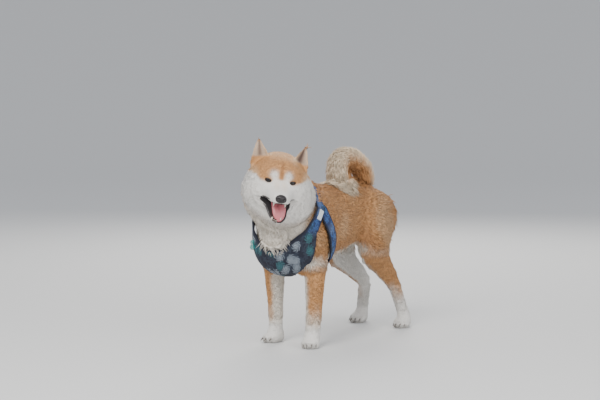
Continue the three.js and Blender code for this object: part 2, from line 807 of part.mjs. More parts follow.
// Legs
const FOOT_TOP = 54;
const HIND_FOOT_TOP = 100;
const CLAW = 8;
for (const name of LEG_NAMES) {
  const { at, ground } = LEGS[name];
  const s = sideOf(name);
  const footTop = isFore(name) ? FOOT_TOP : HIND_FOOT_TOP;
  const top = isFore(name) ? body.at(s * 74, at[1].y * -1, 216) : body.at(s * 68, at[0].y * -1, 334);
  const upper = new THREE.CatmullRomCurve3([top, at[1], at[2], at[3]]);
  const toes = ground.at(0, 4, 1);
  const level = (curve, count, from, to) =>
    Array.from({ length: 60 }, (_, i) => curve.getPointAt(i / 59))
      .filter((p) => p.z <= from && p.z >= to)
      .filter((_, i, all) => i % Math.ceil(all.length / count) === 0 || i === all.length - 1)
      .map((centre) => ({ centre, u: body.left, v: body.forward }));
  const upTo = (z) => [halfSpace(body.at(0, 0, z), body.up)];
  const downTo = (z) => [halfSpace(body.at(0, 0, z), body.up.clone().negate())];
  addFlesh(
    name + (isFore(name) ? "_leg" : "_thigh"),
    {
      sections: level(upper, 16, 400, footTop - 12),
      sides: isFore(name) ? 18 : 22,
      reach: 120,
      keep: [legRegions[name], downTo(footTop)],
    },
    RED_COAT,
  );
  const lower = new THREE.CatmullRomCurve3([at[2], at[3], toes]);
  addFlesh(
    name + "_foot",
    {
      sections: level(lower, 10, footTop + 12, 0),
      sides: 24,
      reach: 60,
      keep: [upTo(footTop), downTo(-HALF_GAP)],
    },
    WHITE_COAT,
  );
  TOES.forEach(({ left, forward }, i) => {
    const root = ground.at(left, forward + 7, 12);
    const claw = bar({
      points: [root, ground.at(left * 1.04, forward + 13, 9.5), ground.at(left * 1.06, forward + 10 + CLAW, 3.5)],
      count: 3,
      sides: 5,
      across: (t) => 2.6 * (1.05 - t),
      guide: ground.left,
    });
    const clear = cutBy(claw, [solids[name + "_foot_clear"]]);
    addNode(name + "_claw_" + (i + 1), largest(clear), BLACK_SKIN);
  });
}

// Tail: one long curl over the croup, in three lengths
const TAIL_PATH = [
  [0, -176, 322],
  [0, -190, 358],
  [0, -180, 398],
  [0, -142, 427],
  [0, -96, 434],
  [8, -58, 420],
  [16, -46, 390],
  [24, -64, 370],
].map((p) => body.at(...p));
const tailCurve = new THREE.CatmullRomCurve3(TAIL_PATH);
const tailSize = (t) =>
  TAIL_RADIUS * (0.7 + 0.3 * Math.sin((Math.PI / 2) * Math.min(1, 2 * t)))
    * Math.sqrt(Math.max(0.04, 1 - Math.max(0, (t - 0.8) / 0.2) ** 2));
const wholeTail = bar({
  points: TAIL_PATH,
  count: 30,
  sides: 16,
  across: tailSize,
  guide: body.left,
});
const tailCuts = [0.36, 0.68].map((t) => halfSpace(tailCurve.getPointAt(t), tailCurve.getTangentAt(t)));
const tailParts = {
  tail_base: [tailCuts[0]],
  tail_middle: [flipped(tailCuts[0]), tailCuts[1]],
  tail_tip: [flipped(tailCuts[1])],
};
const underTail = [solids.torso_clear, solids.hind_left_thigh_clear, solids.hind_right_thigh_clear];
for (const [name, region] of Object.entries(tailParts)) {
  const length = wholeTail.intersect(regionSolid(region, -HALF_GAP));
  solids[name] = largest(cutBy(length, underTail));
  addNode(name, solids[name], WHITE_COAT);
}

// The vest: a padded bib and neck strap in one piece, and a band round the girth
const CLOTH_UNDER = 1.5; // the cloth clears the faceted coat by this much
const wrapTube = {
  sections: straightSections(body.at(0, 20, 290), body.at(0, 194, 258), 11, body.left, body.up),
  sides: 28,
  reach: 230,
};
const clothField = allOf(
  dogField,
  within([NECK_CUT], 30),
  away(legRegions.fore_left, 3),
  away(legRegions.fore_right, 3),
);
const wrap = (by) => solidOf(castTube({ ...wrapTube, field: grown(clothField, by) }));
const cloth = wrap(CLOTH_UNDER + CLOTH).subtract(wrap(CLOTH_UNDER));
const bodyClear = [solids.torso_clear, solids.fore_left_leg_clear, solids.fore_right_leg_clear];
const STRAP_WIDTH = 30;
const strapBack = halfSpace(
  NECK_CUT.point.clone().addScaledVector(NECK_CUT.outward, -STRAP_WIDTH),
  NECK_CUT.outward.clone().negate(),
);
const bibBack = halfSpace(body.at(0, 164, 230), body.way(0, -1, 0.05));
const bibRegions = [
  regionSolid([NECK_CUT, strapBack], -1),
  regionSolid([NECK_CUT, bibBack, halfSpace(body.at(0, 0, 150), body.way(0, 0, -1))], -1),
];
const bib = cloth.intersect(join(bibRegions));
addNode("harness_bib", largest(cutBy(bib, bodyClear)), NAVY_CLOTH);

// A woven label on the left strap and a bead charm at the bib's right edge, flush on the cloth
const clothClear = wrap(CLOTH_UNDER + CLOTH + GAP);
function clothPlace(from, way) {
  const outer = grown(dogField, CLOTH_UNDER + CLOTH);
  const place = from.clone().addScaledVector(way, castRay(outer, from, way, 200));
  return { place, out: outOf(dogField, place) };
}

const LABEL = { thick: 5, wide: 13, long: 24 };
const labelSpot = clothPlace(body.at(0, 158, 306), body.way(1, 0, 0.1));
const alongStrap = body.way(0, -0.466, 0.885);
alongStrap.addScaledVector(labelSpot.out, -alongStrap.dot(labelSpot.out)).normalize();
const acrossStrap = alongStrap.clone().cross(labelSpot.out);
const labelBox = new THREE.BoxGeometry(LABEL.thick, LABEL.wide, LABEL.long)
  .applyMatrix4(new THREE.Matrix4().makeBasis(labelSpot.out, acrossStrap, alongStrap))
  .translate(...labelSpot.place.toArray());
addNode("harness_label", largest(solidOf(labelBox).subtract(clothClear)), LABEL_TAPE);

const BEADS = [
  { up: 247, radius: 6 },
  { up: 236, radius: 7.5 },
];
const charm = BEADS.map(({ up, radius }) => {
  const { place, out } = clothPlace(body.at(0, 190, up), body.way(-1, 0.12, 0));
  place.addScaledVector(out, radius * 0.7);
  return ball(body, [0, 0, 0], [radius, radius, radius], 6, 8).translate(...place.toArray());
});
addNode("harness_charm", largest(join(charm).subtract(clothClear)), TEAL_METAL);

const girthMiddle = body.at(0, 118, 280);
const girthWay = body.way(0, 0.894, -0.447);
const GIRTH_WIDTH = 30;
const girth = cloth.intersect(
  regionSolid(
    [
      halfSpace(girthMiddle.clone().addScaledVector(girthWay, GIRTH_WIDTH / 2), girthWay),
      halfSpace(girthMiddle.clone().addScaledVector(girthWay, -GIRTH_WIDTH / 2), girthWay.clone().negate()),
      flipped(strapBack),
    ],
    0,
  ),
);
addNode("harness_girth", largest(cutBy(girth, bodyClear)), NAVY_CLOTH);

// Stand the group with the middle of its footprint on the origin.
const box = new THREE.Box3().setFromObject(dog);
const middle = box.getCenter(new THREE.Vector3());
dog.position.set(-middle.x, -middle.y, -box.min.z);

export default dog;
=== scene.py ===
"""A shiba inu in a vest harness: one smooth skin, a coat of mesh tufts and fine face parts."""

import math

import bmesh
import bpy
import numpy as np
from mathutils import Matrix, Vector
from mathutils.bvhtree import BVHTree


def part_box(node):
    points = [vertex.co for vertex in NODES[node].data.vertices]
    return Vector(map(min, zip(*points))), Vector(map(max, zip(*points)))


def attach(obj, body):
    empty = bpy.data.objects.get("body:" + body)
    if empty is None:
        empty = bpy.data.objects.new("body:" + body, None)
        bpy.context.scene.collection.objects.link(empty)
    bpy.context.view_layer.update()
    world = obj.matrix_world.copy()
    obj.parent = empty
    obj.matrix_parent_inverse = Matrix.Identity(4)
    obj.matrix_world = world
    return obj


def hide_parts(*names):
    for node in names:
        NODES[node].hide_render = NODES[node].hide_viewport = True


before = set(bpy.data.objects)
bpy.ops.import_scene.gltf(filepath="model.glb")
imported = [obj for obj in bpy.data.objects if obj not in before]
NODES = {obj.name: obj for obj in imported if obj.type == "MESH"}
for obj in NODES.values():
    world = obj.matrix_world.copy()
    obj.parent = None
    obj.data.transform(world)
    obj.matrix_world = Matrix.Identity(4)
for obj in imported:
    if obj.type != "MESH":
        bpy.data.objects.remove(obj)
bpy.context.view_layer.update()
rng = np.random.default_rng(7)

MM = 0.001
LEGS = ("fore_left", "fore_right", "hind_left", "hind_right")
EARS = ("ear_left", "ear_right")
TAIL = ("tail_base", "tail_middle", "tail_tip")


def upper(leg):
    return leg + ("_leg" if leg.startswith("fore") else "_thigh")


FLESH = ["torso", "neck", "head", "lower_jaw", *EARS, *TAIL]
FLESH += [upper(leg) for leg in LEGS] + [leg + "_foot" for leg in LEGS]


def middle(node):
    low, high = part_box(node)
    return (low + high) / 2


# The head's own frame: left, forward and up from midway between the eyes
EYE = {"left": middle("eye_left"), "right": middle("eye_right")}
EYE_RADIUS = (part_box("eye_left")[1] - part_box("eye_left")[0]).z / 2
HEAD_O = (EYE["left"] + EYE["right"]) / 2
HEAD_L = (EYE["left"] - EYE["right"]).normalized()
NOSE_FORWARD = 71 * MM
NOSE_DOWN = 29 * MM
to_nose = middle("nose") - HEAD_O
to_nose -= HEAD_L * to_nose.dot(HEAD_L)
NOSE_ANGLE = math.atan2(NOSE_DOWN, NOSE_FORWARD)
HEAD_F = (Matrix.Rotation(-NOSE_ANGLE, 3, HEAD_L) @ to_nose).normalized()
HEAD_U = HEAD_F.cross(HEAD_L)
HEAD_AXES = np.array([HEAD_L, HEAD_F, HEAD_U])

# The eyes' middle in millimetres left, back and up of the body's origin; minus is forward
EYES_IN_BODY = Vector((52.5, -258.6, 397))
SHIFT = np.array(HEAD_O - EYES_IN_BODY * MM)
SHIFT[2] = 0


def head_local(p):
    """Left, forward and up of the eyes' middle, in millimetres."""
    return (p - np.array(HEAD_O)) @ HEAD_AXES.T / MM


def head_at(left, forward, up):
    """The world point at millimetres left, forward and up of the eyes' middle."""
    return HEAD_O + (HEAD_L * left + HEAD_F * forward + HEAD_U * up) * MM


def body_local(p):
    """Left, forward and up of the body's origin, in millimetres."""
    q = (p - SHIFT) / MM
    return np.stack([q[:, 0], -q[:, 1], q[:, 2]], 1)


def body_at(left, forward, up):
    """The world point at millimetres left, forward and up of the body's origin."""
    return Vector((left * MM + SHIFT[0], -forward * MM + SHIFT[1], up * MM))


def step(low, high, value):
    """Eases from 0 at low to 1 at high; low may be the greater."""
    t = np.clip((value - low) / (high - low), 0, 1)
    return t * t * (3 - 2 * t)


def mix(a, b, weight):
    """From a to b by each point's weight; a and b are one colour or one row a point."""
    w = np.asarray(weight)[:, None]
    return a * (1 - w) + b * w


def unit(v):
    return v / np.maximum(np.linalg.norm(v, axis=-1, keepdims=True), 1e-12)


# Where the photo was taken from
CAMERA_AT = body_at(1994, 3057, 600)

# The tail's middle line, in the body's frame
TAIL_PATH = np.array(
    [
        (0, -176, 322),
        (0, -190, 358),
        (0, -180, 398),
        (0, -142, 427),
        (0, -96, 434),
        (8, -58, 420),
        (16, -46, 390),
        (24, -64, 370),
    ],
    float,
)


def smooth_path(points, count):
    """A Catmull-Rom curve through the points, evenly sampled by its parameter."""
    ends = np.vstack([2 * points[0] - points[1], points, 2 * points[-1] - points[-2]])
    out = []
    for s in np.linspace(0, len(points) - 1.0001, count):
        i = int(s)
        t = s - i
        a, b, c, d = ends[i : i + 4]
        out.append(
            0.5
            * (2 * b + (c - a) * t + (2 * a - 5 * b + 4 * c - d) * t**2 + (3 * b - a - 3 * c + d) * t**3)
        )
    return np.array(out)


TAIL_LINE = smooth_path(TAIL_PATH, 60)
TAIL_WAY = unit(np.gradient(TAIL_LINE, axis=0))


def tail_place(q):
    """How far along the tail (0 to 1) and how far from its middle line each body-frame point is."""
    gaps = np.linalg.norm(q[:, None, :] - TAIL_LINE, axis=2)
    nearest = gaps.argmin(1)
    return nearest / (len(TAIL_LINE) - 1), gaps.min(1), nearest


# The ears: each cup's side, where it stands on the head, and its own left, forward and up
EAR_HEIGHT = 64.0
EAR_HALF = 27.0
EAR_ROOT_UP = -14
EAR_TURN_OUT = 24
EAR_TILT_OUT = 15
EAR_FRAMES = []
for s, root in ((1, (42, -46, 35)), (-1, (-46, -46, 40))):
    ear_f = Matrix.Rotation(math.radians(EAR_TURN_OUT * s), 3, HEAD_U) @ HEAD_F
    tilt = math.radians(EAR_TILT_OUT)
    ear_u = HEAD_U * math.cos(tilt) + HEAD_L * s * math.sin(tilt)
    ear_u = (ear_u - ear_f * ear_u.dot(ear_f)).normalized()
    EAR_FRAMES.append((s, head_at(*root), np.array([ear_f.cross(ear_u) * -1, ear_f, ear_u])))


def ear_place(p, root, axes):
    """Across the cup (-1 to 1 at its edges), forward in millimetres, and up from 0 to 1 at the tip."""
    e = (p - np.array(root)) @ axes.T / MM
    t = (e[:, 2] - EAR_ROOT_UP) / EAR_HEIGHT
    half = EAR_HALF * (1 - 0.97 * np.clip(t, 0, 1) ** 1.25) + 0.5
    return e[:, 0] / half, e[:, 1], t


def zones(p):
    """Soft membership of each point in the head, tail, legs and neck."""
    q = body_local(p)
    h = head_local(p)
    along, gap, nearest = tail_place(q)
    tail = step(52, 44, gap) * step(340, 362, q[:, 2]) * step(10, -10, q[:, 1] - 30)
    front = (h[:, 1] + 60) * 0.87 + (h[:, 2] + 24) * 0.49
    head = step(-14, 16, front) * step(120, 100, np.linalg.norm(h - [0, -20, -10], axis=1))
    ear = np.zeros(len(p))
    for _, root, axes in EAR_FRAMES:
        x, y, t = ear_place(p, root, axes)
        ear = np.maximum(ear, step(0.26, 0.38, t) * step(1.7, 1.4, np.abs(x)) * step(32, 26, np.abs(y)))
    ahead = (q[:, 1] - 190) * 0.885 + (q[:, 2] - 290) * 0.466
    neck = step(-12, 12, ahead) * (1 - head)
    fore = step(205, 180, q[:, 2]) * step(40, 60, q[:, 1])
    hind = step(225, 190, q[:, 2]) * step(-70, -95, q[:, 1])
    foot = step(62, 40, q[:, 2])
    return {
        "q": q,
        "h": h,
        "tail": tail,
        "along": along,
        "nearest": nearest,
        "head": head,
        "ear": ear,
        "neck": neck,
        "fore": fore,
        "hind": hind,
        "foot": foot,
    }


# The open mouth: its corner lies below the eyes, and the jaw drops from there
MOUTH_F = 2.0
MOUTH_U = -39.0
MOUTH_RIGHT_HALF = 40
# the muzzle's left flap hides the mouth's far corner
MOUTH_LEFT_HALF = 30
JAW_DROP = math.radians(53)
EYE_HALF = 26.0
JAW_F = (HEAD_F * math.cos(JAW_DROP) - HEAD_U * math.sin(JAW_DROP)).normalized()
JAW_U = (HEAD_U * math.cos(JAW_DROP) + HEAD_F * math.sin(JAW_DROP)).normalized()


def mouth_inside(h, n):
    """True inside the open mouth, for points in the head's frame with their world normals."""
    f, u = h[:, 1] - MOUTH_F, h[:, 2] - MOUTH_U
    c, s = math.cos(JAW_DROP), math.sin(JAW_DROP)
    above_jaw = u * c + f * s
    along_jaw = f * c - u * s
    between = (f > 0) & (u < 1.6 - 0.04 * f) & (above_jaw > -2.0)
    bottom = (along_jaw > 0) & (above_jaw > -8) & (u < 0) & (n @ np.array(JAW_U) > 0.45)
    roof = (f > 2) & (u > -5) & (u < 5) & (n @ np.array(HEAD_U) < -0.65)
    return (between | bottom | roof) & (h[:, 0] > -MOUTH_RIGHT_HALF) & (h[:, 0] < MOUTH_LEFT_HALF)


def paint_ears(colour, p, n):
    """Cream fur on the inside of each cup, painted shade in its hollow, a pale rim and a dark tip."""
    for s, root, axes in EAR_FRAMES:
        x, y, t = ear_place(p, root, axes)
        here = step(0.28, 0.38, t) * step(1.5, 1.2, np.abs(x)) * step(30, 24, np.abs(y))
        inside = here * step(0.05, 0.35, n @ axes[1])
        cup = mix(EAR_CREAM, PALE, 0.5 * step(0.3, 0.9, x * -s))
        # painted shade in each cup's hollow, wider and darker in the left ear than in the right
        hollow_half, shade_strength = (0.62, 0.95) if s > 0 else (0.34, 0.75)
        hollow = np.exp(-(((x + 0.12) / hollow_half) ** 2)) * step(0.24, 0.42, t) * step(1.0, 0.8, t)
        cup = mix(cup, EAR_HOLLOW_SHADE, hollow * shade_strength)
        cup = mix(cup, DEEP * 0.7, step(0.80, 0.92, t) * 0.8)
        cup = mix(cup, PALE, step(0.80, 0.95, np.abs(x)) * 0.7)
        colour = mix(colour, DEEP * 1.1, here * 0.35 * (1 - inside))
        colour = mix(colour, cup, inside)
    return colour


# Coat colours, linear
ORANGE = np.array([0.58, 0.29, 0.11])
DEEP = np.array([0.40, 0.175, 0.062])
PALE = np.array([0.76, 0.51, 0.29])
CREAM = np.array([0.84, 0.77, 0.67])
TAIL_CREAM = np.array([0.85, 0.69, 0.50])
WHITE = np.array([0.88, 0.85, 0.80])
BLACK = np.array([0.012, 0.010, 0.011])
# the mouth's dark red lining, painted darker with the shade inside the open mouth
GUM_IN_SHADE = np.array([0.055, 0.018, 0.018])
# painted shade for the hollows of the ears
EAR_HOLLOW_SHADE = np.array([0.085, 0.042, 0.030])
EAR_CREAM = np.array([0.66, 0.49, 0.36])


def wobble(p, size, seed=0):
    """Smooth cheap noise between -1 and 1, made of a few crossed waves."""
    q = p / size
    a = np.sin(q[:, 0] * 1.7 + 2.1 * np.sin(q[:, 1] * 1.3 + seed) + seed * 1.9)
    b = np.sin(q[:, 1] * 1.9 + 1.7 * np.sin(q[:, 2] * 1.1 + seed * 2.3) + seed)
    c = np.sin(q[:, 2] * 1.6 + 1.9 * np.sin(q[:, 0] * 1.5 - seed) + seed * 0.7)
    return (a + b + c) / 3


def markings(p, n):
    """The coat's colour at points of the body, the same for skin and tufts."""
    z = zones(p)
    q, h = z["q"], z["h"]
    rough = wobble(p, 0.012, 1) * 5 + wobble(p, 0.005, 2) * 3
    side = np.abs(q[:, 0])
    # Trunk: deep red along the back, paler on the flank, cream below
    up = q[:, 2]
    low = step(236, 206, up + rough + 0.35 * (side - 60)) * step(0.5, -0.3, n[:, 2])
    patch = wobble(p, 0.045, 3)
    colour = mix(ORANGE, DEEP, 0.45 * step(-0.1, 0.7, patch) + 0.25 * step(355, 385, up))
    colour = mix(colour, PALE, 0.5 * step(0.1, 0.8, -patch))
    colour = mix(colour, CREAM, low)
    # Chest, throat and neck
    front = step(150, 190, q[:, 1] + rough) * step(85, 60, side)
    colour = mix(colour, CREAM, front * (1 - z["head"]))
    throat = -(h[:, 2] + 0.25 * h[:, 1]) - 1.5 * np.maximum(np.abs(h[:, 0]) - 36, 0)
    throat_white = step(-10, 30, throat - 18 + rough * 1.6)
    neck_colour = mix(ORANGE * 1.1, PALE, step(-45, 0, throat))
    neck_colour = mix(neck_colour, CREAM, throat_white)
    colour = mix(colour, neck_colour, z["neck"])
    # Buttocks and the backs of the thighs
    rump = step(-205, -232, q[:, 1] + rough) * step(345, 300, up)
    colour = mix(colour, CREAM, rump * 0.85)
    # Legs: red down the outside and front, white inside and at the feet
    out = np.sign(q[:, 0]) * n[:, 0]
    outside = step(-0.35, 0.35, out + 0.25 * -n[:, 1] + rough * 0.02)
    shade = mix(CREAM, ORANGE * 1.1, outside * step(34, 110, up + rough * 2))
    colour = mix(colour, shade, z["fore"])
    shade = mix(WHITE * 0.97, ORANGE, outside * step(60, 130, up + rough * 2))
    colour = mix(colour, shade, z["hind"])
    colour = mix(colour, WHITE * 0.98, z["foot"])
    # Tail: cream on the outside of the curl, red within and near its root
    curl = np.array([0, -105, 385])
    line = TAIL_LINE[z["nearest"]]
    outer = np.einsum("ij,ij->i", unit(q - line), unit(line - curl))
    tail = mix(ORANGE * 1.1, TAIL_CREAM, step(-0.5, 0.6, outer + rough * 0.03))
    tail = mix(tail, DEEP, step(-0.2, -0.9, outer) * 0.5)
    colour = mix(colour, tail, z["tail"])
    # Head
    l, f, u = h[:, 0], h[:, 1], h[:, 2]
    al = np.abs(l)
    face = ORANGE * 1.08
    face = mix(face, PALE, 0.35 * step(0.2, 0.9, wobble(p, 0.02, 5)))
    # white below a line through the eyes, which rises to the brows inside and on the cheeks outside
    line = 6 - 8 * step(13, 27, al) + 11 * step(38, 62, al)
    below = step(4, -4, u - line + rough * 0.5)
    face = mix(face, PALE, step(40, 56, al) * step(22, 0, u - line) * 0.8)
    face = mix(face, WHITE, below)
    shade = np.exp(-(((al - 8) / 9) ** 2) - ((u + 4) / 14) ** 2) * step(64, 40, f)
    face = mix(face, PALE, 0.30 * shade)
    brow = np.exp(-(((al - 15.5) / 8) ** 2) - ((u - 13) / 8.5) ** 2) * step(-30, -16, f)
    face = mix(face, WHITE, np.clip(brow * 1.5, 0, 1) * 0.9)
    stripe = step(5.5, 1.5, al) * step(3, 12, u) * step(48, 30, u)
    face = mix(face, ORANGE * 0.9, step(7, 3, al) * step(2, 9, u) * step(30, 20, u))
    face = mix(face, DEEP, stripe * 0.7)
    face = mix(face, PALE, 0.35 * step(40, 58, u) * step(34, 14, al))
    nape = step(-60, -84, f) * step(-40, -20, u)
    face = mix(face, ORANGE, nape)
    colour = mix(colour, face, z["head"])
    colour = paint_ears(colour, p, n)
    # inside the open mouth: a dark red lining, black towards the corners, painted darker with the shade of
    # the cavity
    lining_in_shade = mix(GUM_IN_SHADE, BLACK * 1.3, step(9, 17, al))
    colour = mix(colour, lining_in_shade, mouth_inside(h, n).astype(float))
    return np.clip(colour, 0, 1)


def coat_depth(p):
    """How deep the coat is, in millimetres."""
    z = zones(p)
    q, h = z["q"], z["h"]
    depth = 6 + 2 * step(-150, -220, q[:, 1])
    depth = depth * (1 - z["neck"]) + 11 * z["neck"]
    leg = np.maximum(z["fore"], z["hind"] * step(190, 130, q[:, 2]))
    depth = depth * (1 - leg) + 2.6 * leg
    face = 1.2 + 5 * step(-14, -44, h[:, 1]) * step(20, -10, h[:, 2])
    depth = depth * (1 - z["head"]) + face * z["head"]
    depth = depth * (1 - z["ear"]) + 0.5 * z["ear"]
    depth = depth * (1 - z["foot"]) + 1.0 * z["foot"]
    return depth * (1 - z["tail"]) + 15 * z["tail"]


# Meshes from arrays
def linked_object(name, data):
    obj = bpy.data.objects.new(name, data)
    bpy.context.scene.collection.objects.link(obj)
    return obj


def mesh_object(name, verts, faces):
    data = bpy.data.meshes.new(name)
    data.from_pydata([tuple(v) for v in verts], [], faces)
    data.update()
    data.shade_smooth()
    return linked_object(name, data)


def grid_faces(rows, count):
    """Quads between rings of vertices, count in each."""
    return [
        (i * count + j, i * count + (j + 1) % count, (i + 1) * count + (j + 1) % count, (i + 1) * count + j)
        for i in range(rows - 1)
        for j in range(count)
    ]


def coordinates(mesh):
    co = np.zeros(len(mesh.vertices) * 3, np.float32)
    mesh.vertices.foreach_get("co", co)
    return co.reshape(-1, 3).astype(float)


def normals(mesh):
    no = np.zeros(len(mesh.vertices) * 3, np.float32)
    mesh.vertex_normals.foreach_get("vector", no)
    return no.reshape(-1, 3).astype(float)


def set_coordinates(mesh, co):
    mesh.vertices.foreach_set("co", co.astype(np.float32).ravel())
    mesh.update()


def press_in(obj, depth):
    """Sinks each vertex along its normal, by millimetres."""
    set_coordinates(obj.data, coordinates(obj.data) - normals(obj.data) * depth[:, None] * MM)


def tree_of(obj):
    return BVHTree.FromObject(obj, bpy.context.evaluated_depsgraph_get())


def merged_copy(name, nodes, swell):
    """One mesh of copies of CAD nodes, each a little swollen so that they run into one another."""
    bm = bmesh.new()
    for node in nodes:
        part = bmesh.new()
        part.from_mesh(NODES[node].data)
        bmesh.ops.remove_doubles(part, verts=part.verts, dist=1e-6)
        part.normal_update()
        for v in part.verts:
            v.co += v.normal * swell
        data = bpy.data.meshes.new("part")
        part.to_mesh(data)
        part.free()
        bm.from_mesh(data)
        bpy.data.meshes.remove(data)
    data = bpy.data.meshes.new(name)
    bm.to_mesh(data)
    bm.free()
    return linked_object(name, data)


def apply_modifiers(obj):
    """Replaces the mesh by what its modifiers make of it."""
    bpy.context.view_layer.update()
    graph = bpy.context.evaluated_depsgraph_get()
    done = bpy.data.meshes.new_from_object(obj.evaluated_get(graph))
    old = obj.data
    obj.modifiers.clear()
    obj.data = done
    bpy.data.meshes.remove(old)


def remesh(obj, size):
    m = obj.modifiers.new("remesh", "REMESH")
    m.mode = "VOXEL"
    m.voxel_size = size
    m.use_smooth_shade = True
    apply_modifiers(obj)


def edges_of(mesh):
    e = np.zeros(len(mesh.edges) * 2, np.int32)
    mesh.edges.foreach_get("vertices", e)
    return e.reshape(-1, 2)


SMOOTH_PULL = 0.5
SMOOTH_SWELL = 0.48


def smooth_mesh(obj, weights, rounds):
    """Moves each vertex towards the middle of its neighbours; weights is how many rounds each takes."""
    mesh = obj.data
    co = coordinates(mesh)
    e = edges_of(mesh)
    count = np.bincount(e.ravel(), minlength=len(co))[:, None]
    for i in range(rounds):
        total = np.zeros_like(co)
        for axis in range(3):
            total[:, axis] = np.bincount(e[:, 0], co[e[:, 1], axis], len(co))
            total[:, axis] += np.bincount(e[:, 1], co[e[:, 0], axis], len(co))
        # every other round swells back a little, so that thin forms keep their size
        pull = SMOOTH_PULL if i % 2 == 0 else -SMOOTH_SWELL
        active = np.clip(weights - i, 0, 1)[:, None]
        co += (total / np.maximum(count, 1) - co) * pull * active
    set_coordinates(mesh, co)


def add_colours(mesh, name, colours):
    attribute = mesh.color_attributes.new(name, "FLOAT_COLOR", "POINT")
    rgba = np.ones((len(colours), 4), np.float32)
    rgba[:, :3] = colours
    attribute.data.foreach_set("color", rgba.ravel())


# Skin: the flesh nodes run together, smoothed, and set in by the coat's depth
SKIN_CELL = 2.05 * MM
SMOOTHER = 1.5
SKIN_SHADE = 0.9
skin = merged_copy("skin", FLESH, 0.4 * MM)
remesh(skin, SKIN_CELL)
where = coordinates(skin.data)
z = zones(where)
leg = np.maximum(z["fore"], z["hind"])
back_of_head = step(-26, -52, z["h"][:, 1])
rounds = 46 * (1 - z["head"]) * (1 - z["foot"]) * (1 - 0.5 * leg)
rounds += (9 + 26 * back_of_head) * z["head"] * (1 - z["ear"]) + 4 * z["foot"]
rounds = (rounds + 2) * SMOOTHER
smooth_mesh(skin, rounds, int(80 * SMOOTHER))
outline_tree = tree_of(skin)
where = coordinates(skin.data)
z = zones(where)
inset = where - normals(skin.data) * coat_depth(where)[:, None] * MM
# The tail's skin is a round core along its middle line
TAIL_CORE = 19.0
line = TAIL_LINE[z["nearest"]]
core = line + unit(z["q"] - line) * TAIL_CORE
core_world = np.stack([core[:, 0], -core[:, 1], core[:, 2]], 1) * MM + SHIFT
set_coordinates(skin.data, mix(inset, core_world, z["tail"]))
smooth_mesh(skin, np.clip(rounds, 0, 8), 8)
skin_colours = markings(coordinates(skin.data), normals(skin.data)) * SKIN_SHADE
add_colours(skin.data, "Coat", skin_colours)
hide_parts(*FLESH)
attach(skin, "root")


# Materials
def new_material(name, roughness):
    """A material with its node tree and its shader."""
    mat = bpy.data.materials.new(name)
    mat.use_nodes = True
    shader = mat.node_tree.nodes["Principled BSDF"]
    shader.inputs["Roughness"].default_value = roughness
    return mat, mat.node_tree, shader


def node(tree, kind, **values):
    """A shader node; each value is one of its own settings or else one of its inputs."""
    n = tree.nodes.new(kind)
    for key, value in values.items():
        if hasattr(n, key):
            setattr(n, key, value)
        else:
            n.inputs[key].default_value = value
    return n


def bump(tree, shader, height, strength, distance):
    b = node(tree, "ShaderNodeBump", Strength=strength, Distance=distance)
    tree.links.new(height, b.inputs["Height"])
    tree.links.new(b.outputs[0], shader.inputs["Normal"])


def coat_material(name, roughness):
    """Fur by its painted colours, with a fine grain."""
    mat, tree, shader = new_material(name, roughness)
    colour = node(tree, "ShaderNodeAttribute", attribute_name="Coat")
    coords = node(tree, "ShaderNodeTexCoord")
    grain = node(tree, "ShaderNodeTexNoise", Scale=420.0, Detail=4.0)
    tree.links.new(coords.outputs["Object"], grain.inputs["Vector"])
    blend = node(tree, "ShaderNodeMixRGB", blend_type="MULTIPLY")
    blend.inputs[0].default_value = 0.35
    tree.links.new(colour.outputs["Color"], blend.inputs[1])
    tree.links.new(grain.outputs["Fac"], blend.inputs[2])
    tree.links.new(blend.outputs[0], shader.inputs["Base Color"])
    bump(tree, shader, grain.outputs["Fac"], 0.5, 0.001)
    return mat


skin.data.materials.clear()
skin.data.materials.append(coat_material("coat_skin", 0.85))


# Fine parts of the face, each in place of a coarser one
def smooth_copy(name, nodes, size, rounds):
    """A finer, rounder copy of CAD nodes."""
    obj = merged_copy(name, nodes, 0)
    remesh(obj, size)
    smooth_mesh(obj, np.full(len(obj.data.vertices), rounds), rounds)
    obj.data.materials.clear()
    return obj


TUBE_SIDES = 8


def tube(name, points, radii):
    """A round tube through points, closed at its ends."""
    sides = TUBE_SIDES
    path = np.array([tuple(p) for p in points], float)
    way = unit(np.gradient(path, axis=0))
    guide = np.array(HEAD_U)
    u = unit(np.cross(way, guide + 1e-4))
    v = np.cross(u, way)
    turns = np.arange(sides) * 2 * math.pi / sides
    verts = []
    for i, radius in enumerate(radii):
        for t in turns:
            verts.append(path[i] + (u[i] * math.cos(t) + v[i] * math.sin(t)) * radius)
    count = len(path)
    faces = grid_faces(count, sides)
    verts += [path[0], path[-1]]
    first, last = len(verts) - 2, len(verts) - 1
    for j in range(sides):
        faces.append(((j + 1) % sides, j, first))
        faces.append(((count - 1) * sides + j, (count - 1) * sides + (j + 1) % sides, last))
    return mesh_object(name, verts, faces)


# Eyes: a glossy ball with a dark brown iris, wide black pupil and a clear bulge in front
IRIS_SHARE = 0.80
PUPIL_SHARE = 0.42
EYE_TURN_OUT = {"left": 14, "right": -14}


def eye_frame(side):
    """Ways to the eye's left, forward and up."""
    turn = Matrix.Rotation(math.radians(EYE_TURN_OUT[side]), 3, HEAD_U)
    f = (turn @ HEAD_F).normalized()
    to_camera = (CAMERA_AT - EYE[side]).normalized()
    f = (f * 0.62 + to_camera * 0.38).normalized()
    l = HEAD_U.cross(f).normalized()
    return l, f, f.cross(l).normalized()


def eye_material():
    mat, tree, shader = new_material("eye_gloss", 0.06)
    colour = node(tree, "ShaderNodeAttribute", attribute_name="Coat")
    tree.links.new(colour.outputs["Color"], shader.inputs["Base Color"])
    return mat


PUPIL_BLACK = (0.004, 0.003, 0.003)
IRIS_BROWN = np.array([0.045, 0.016, 0.007])
EYE_WHITE_IN_SHADE = (0.030, 0.018, 0.014)


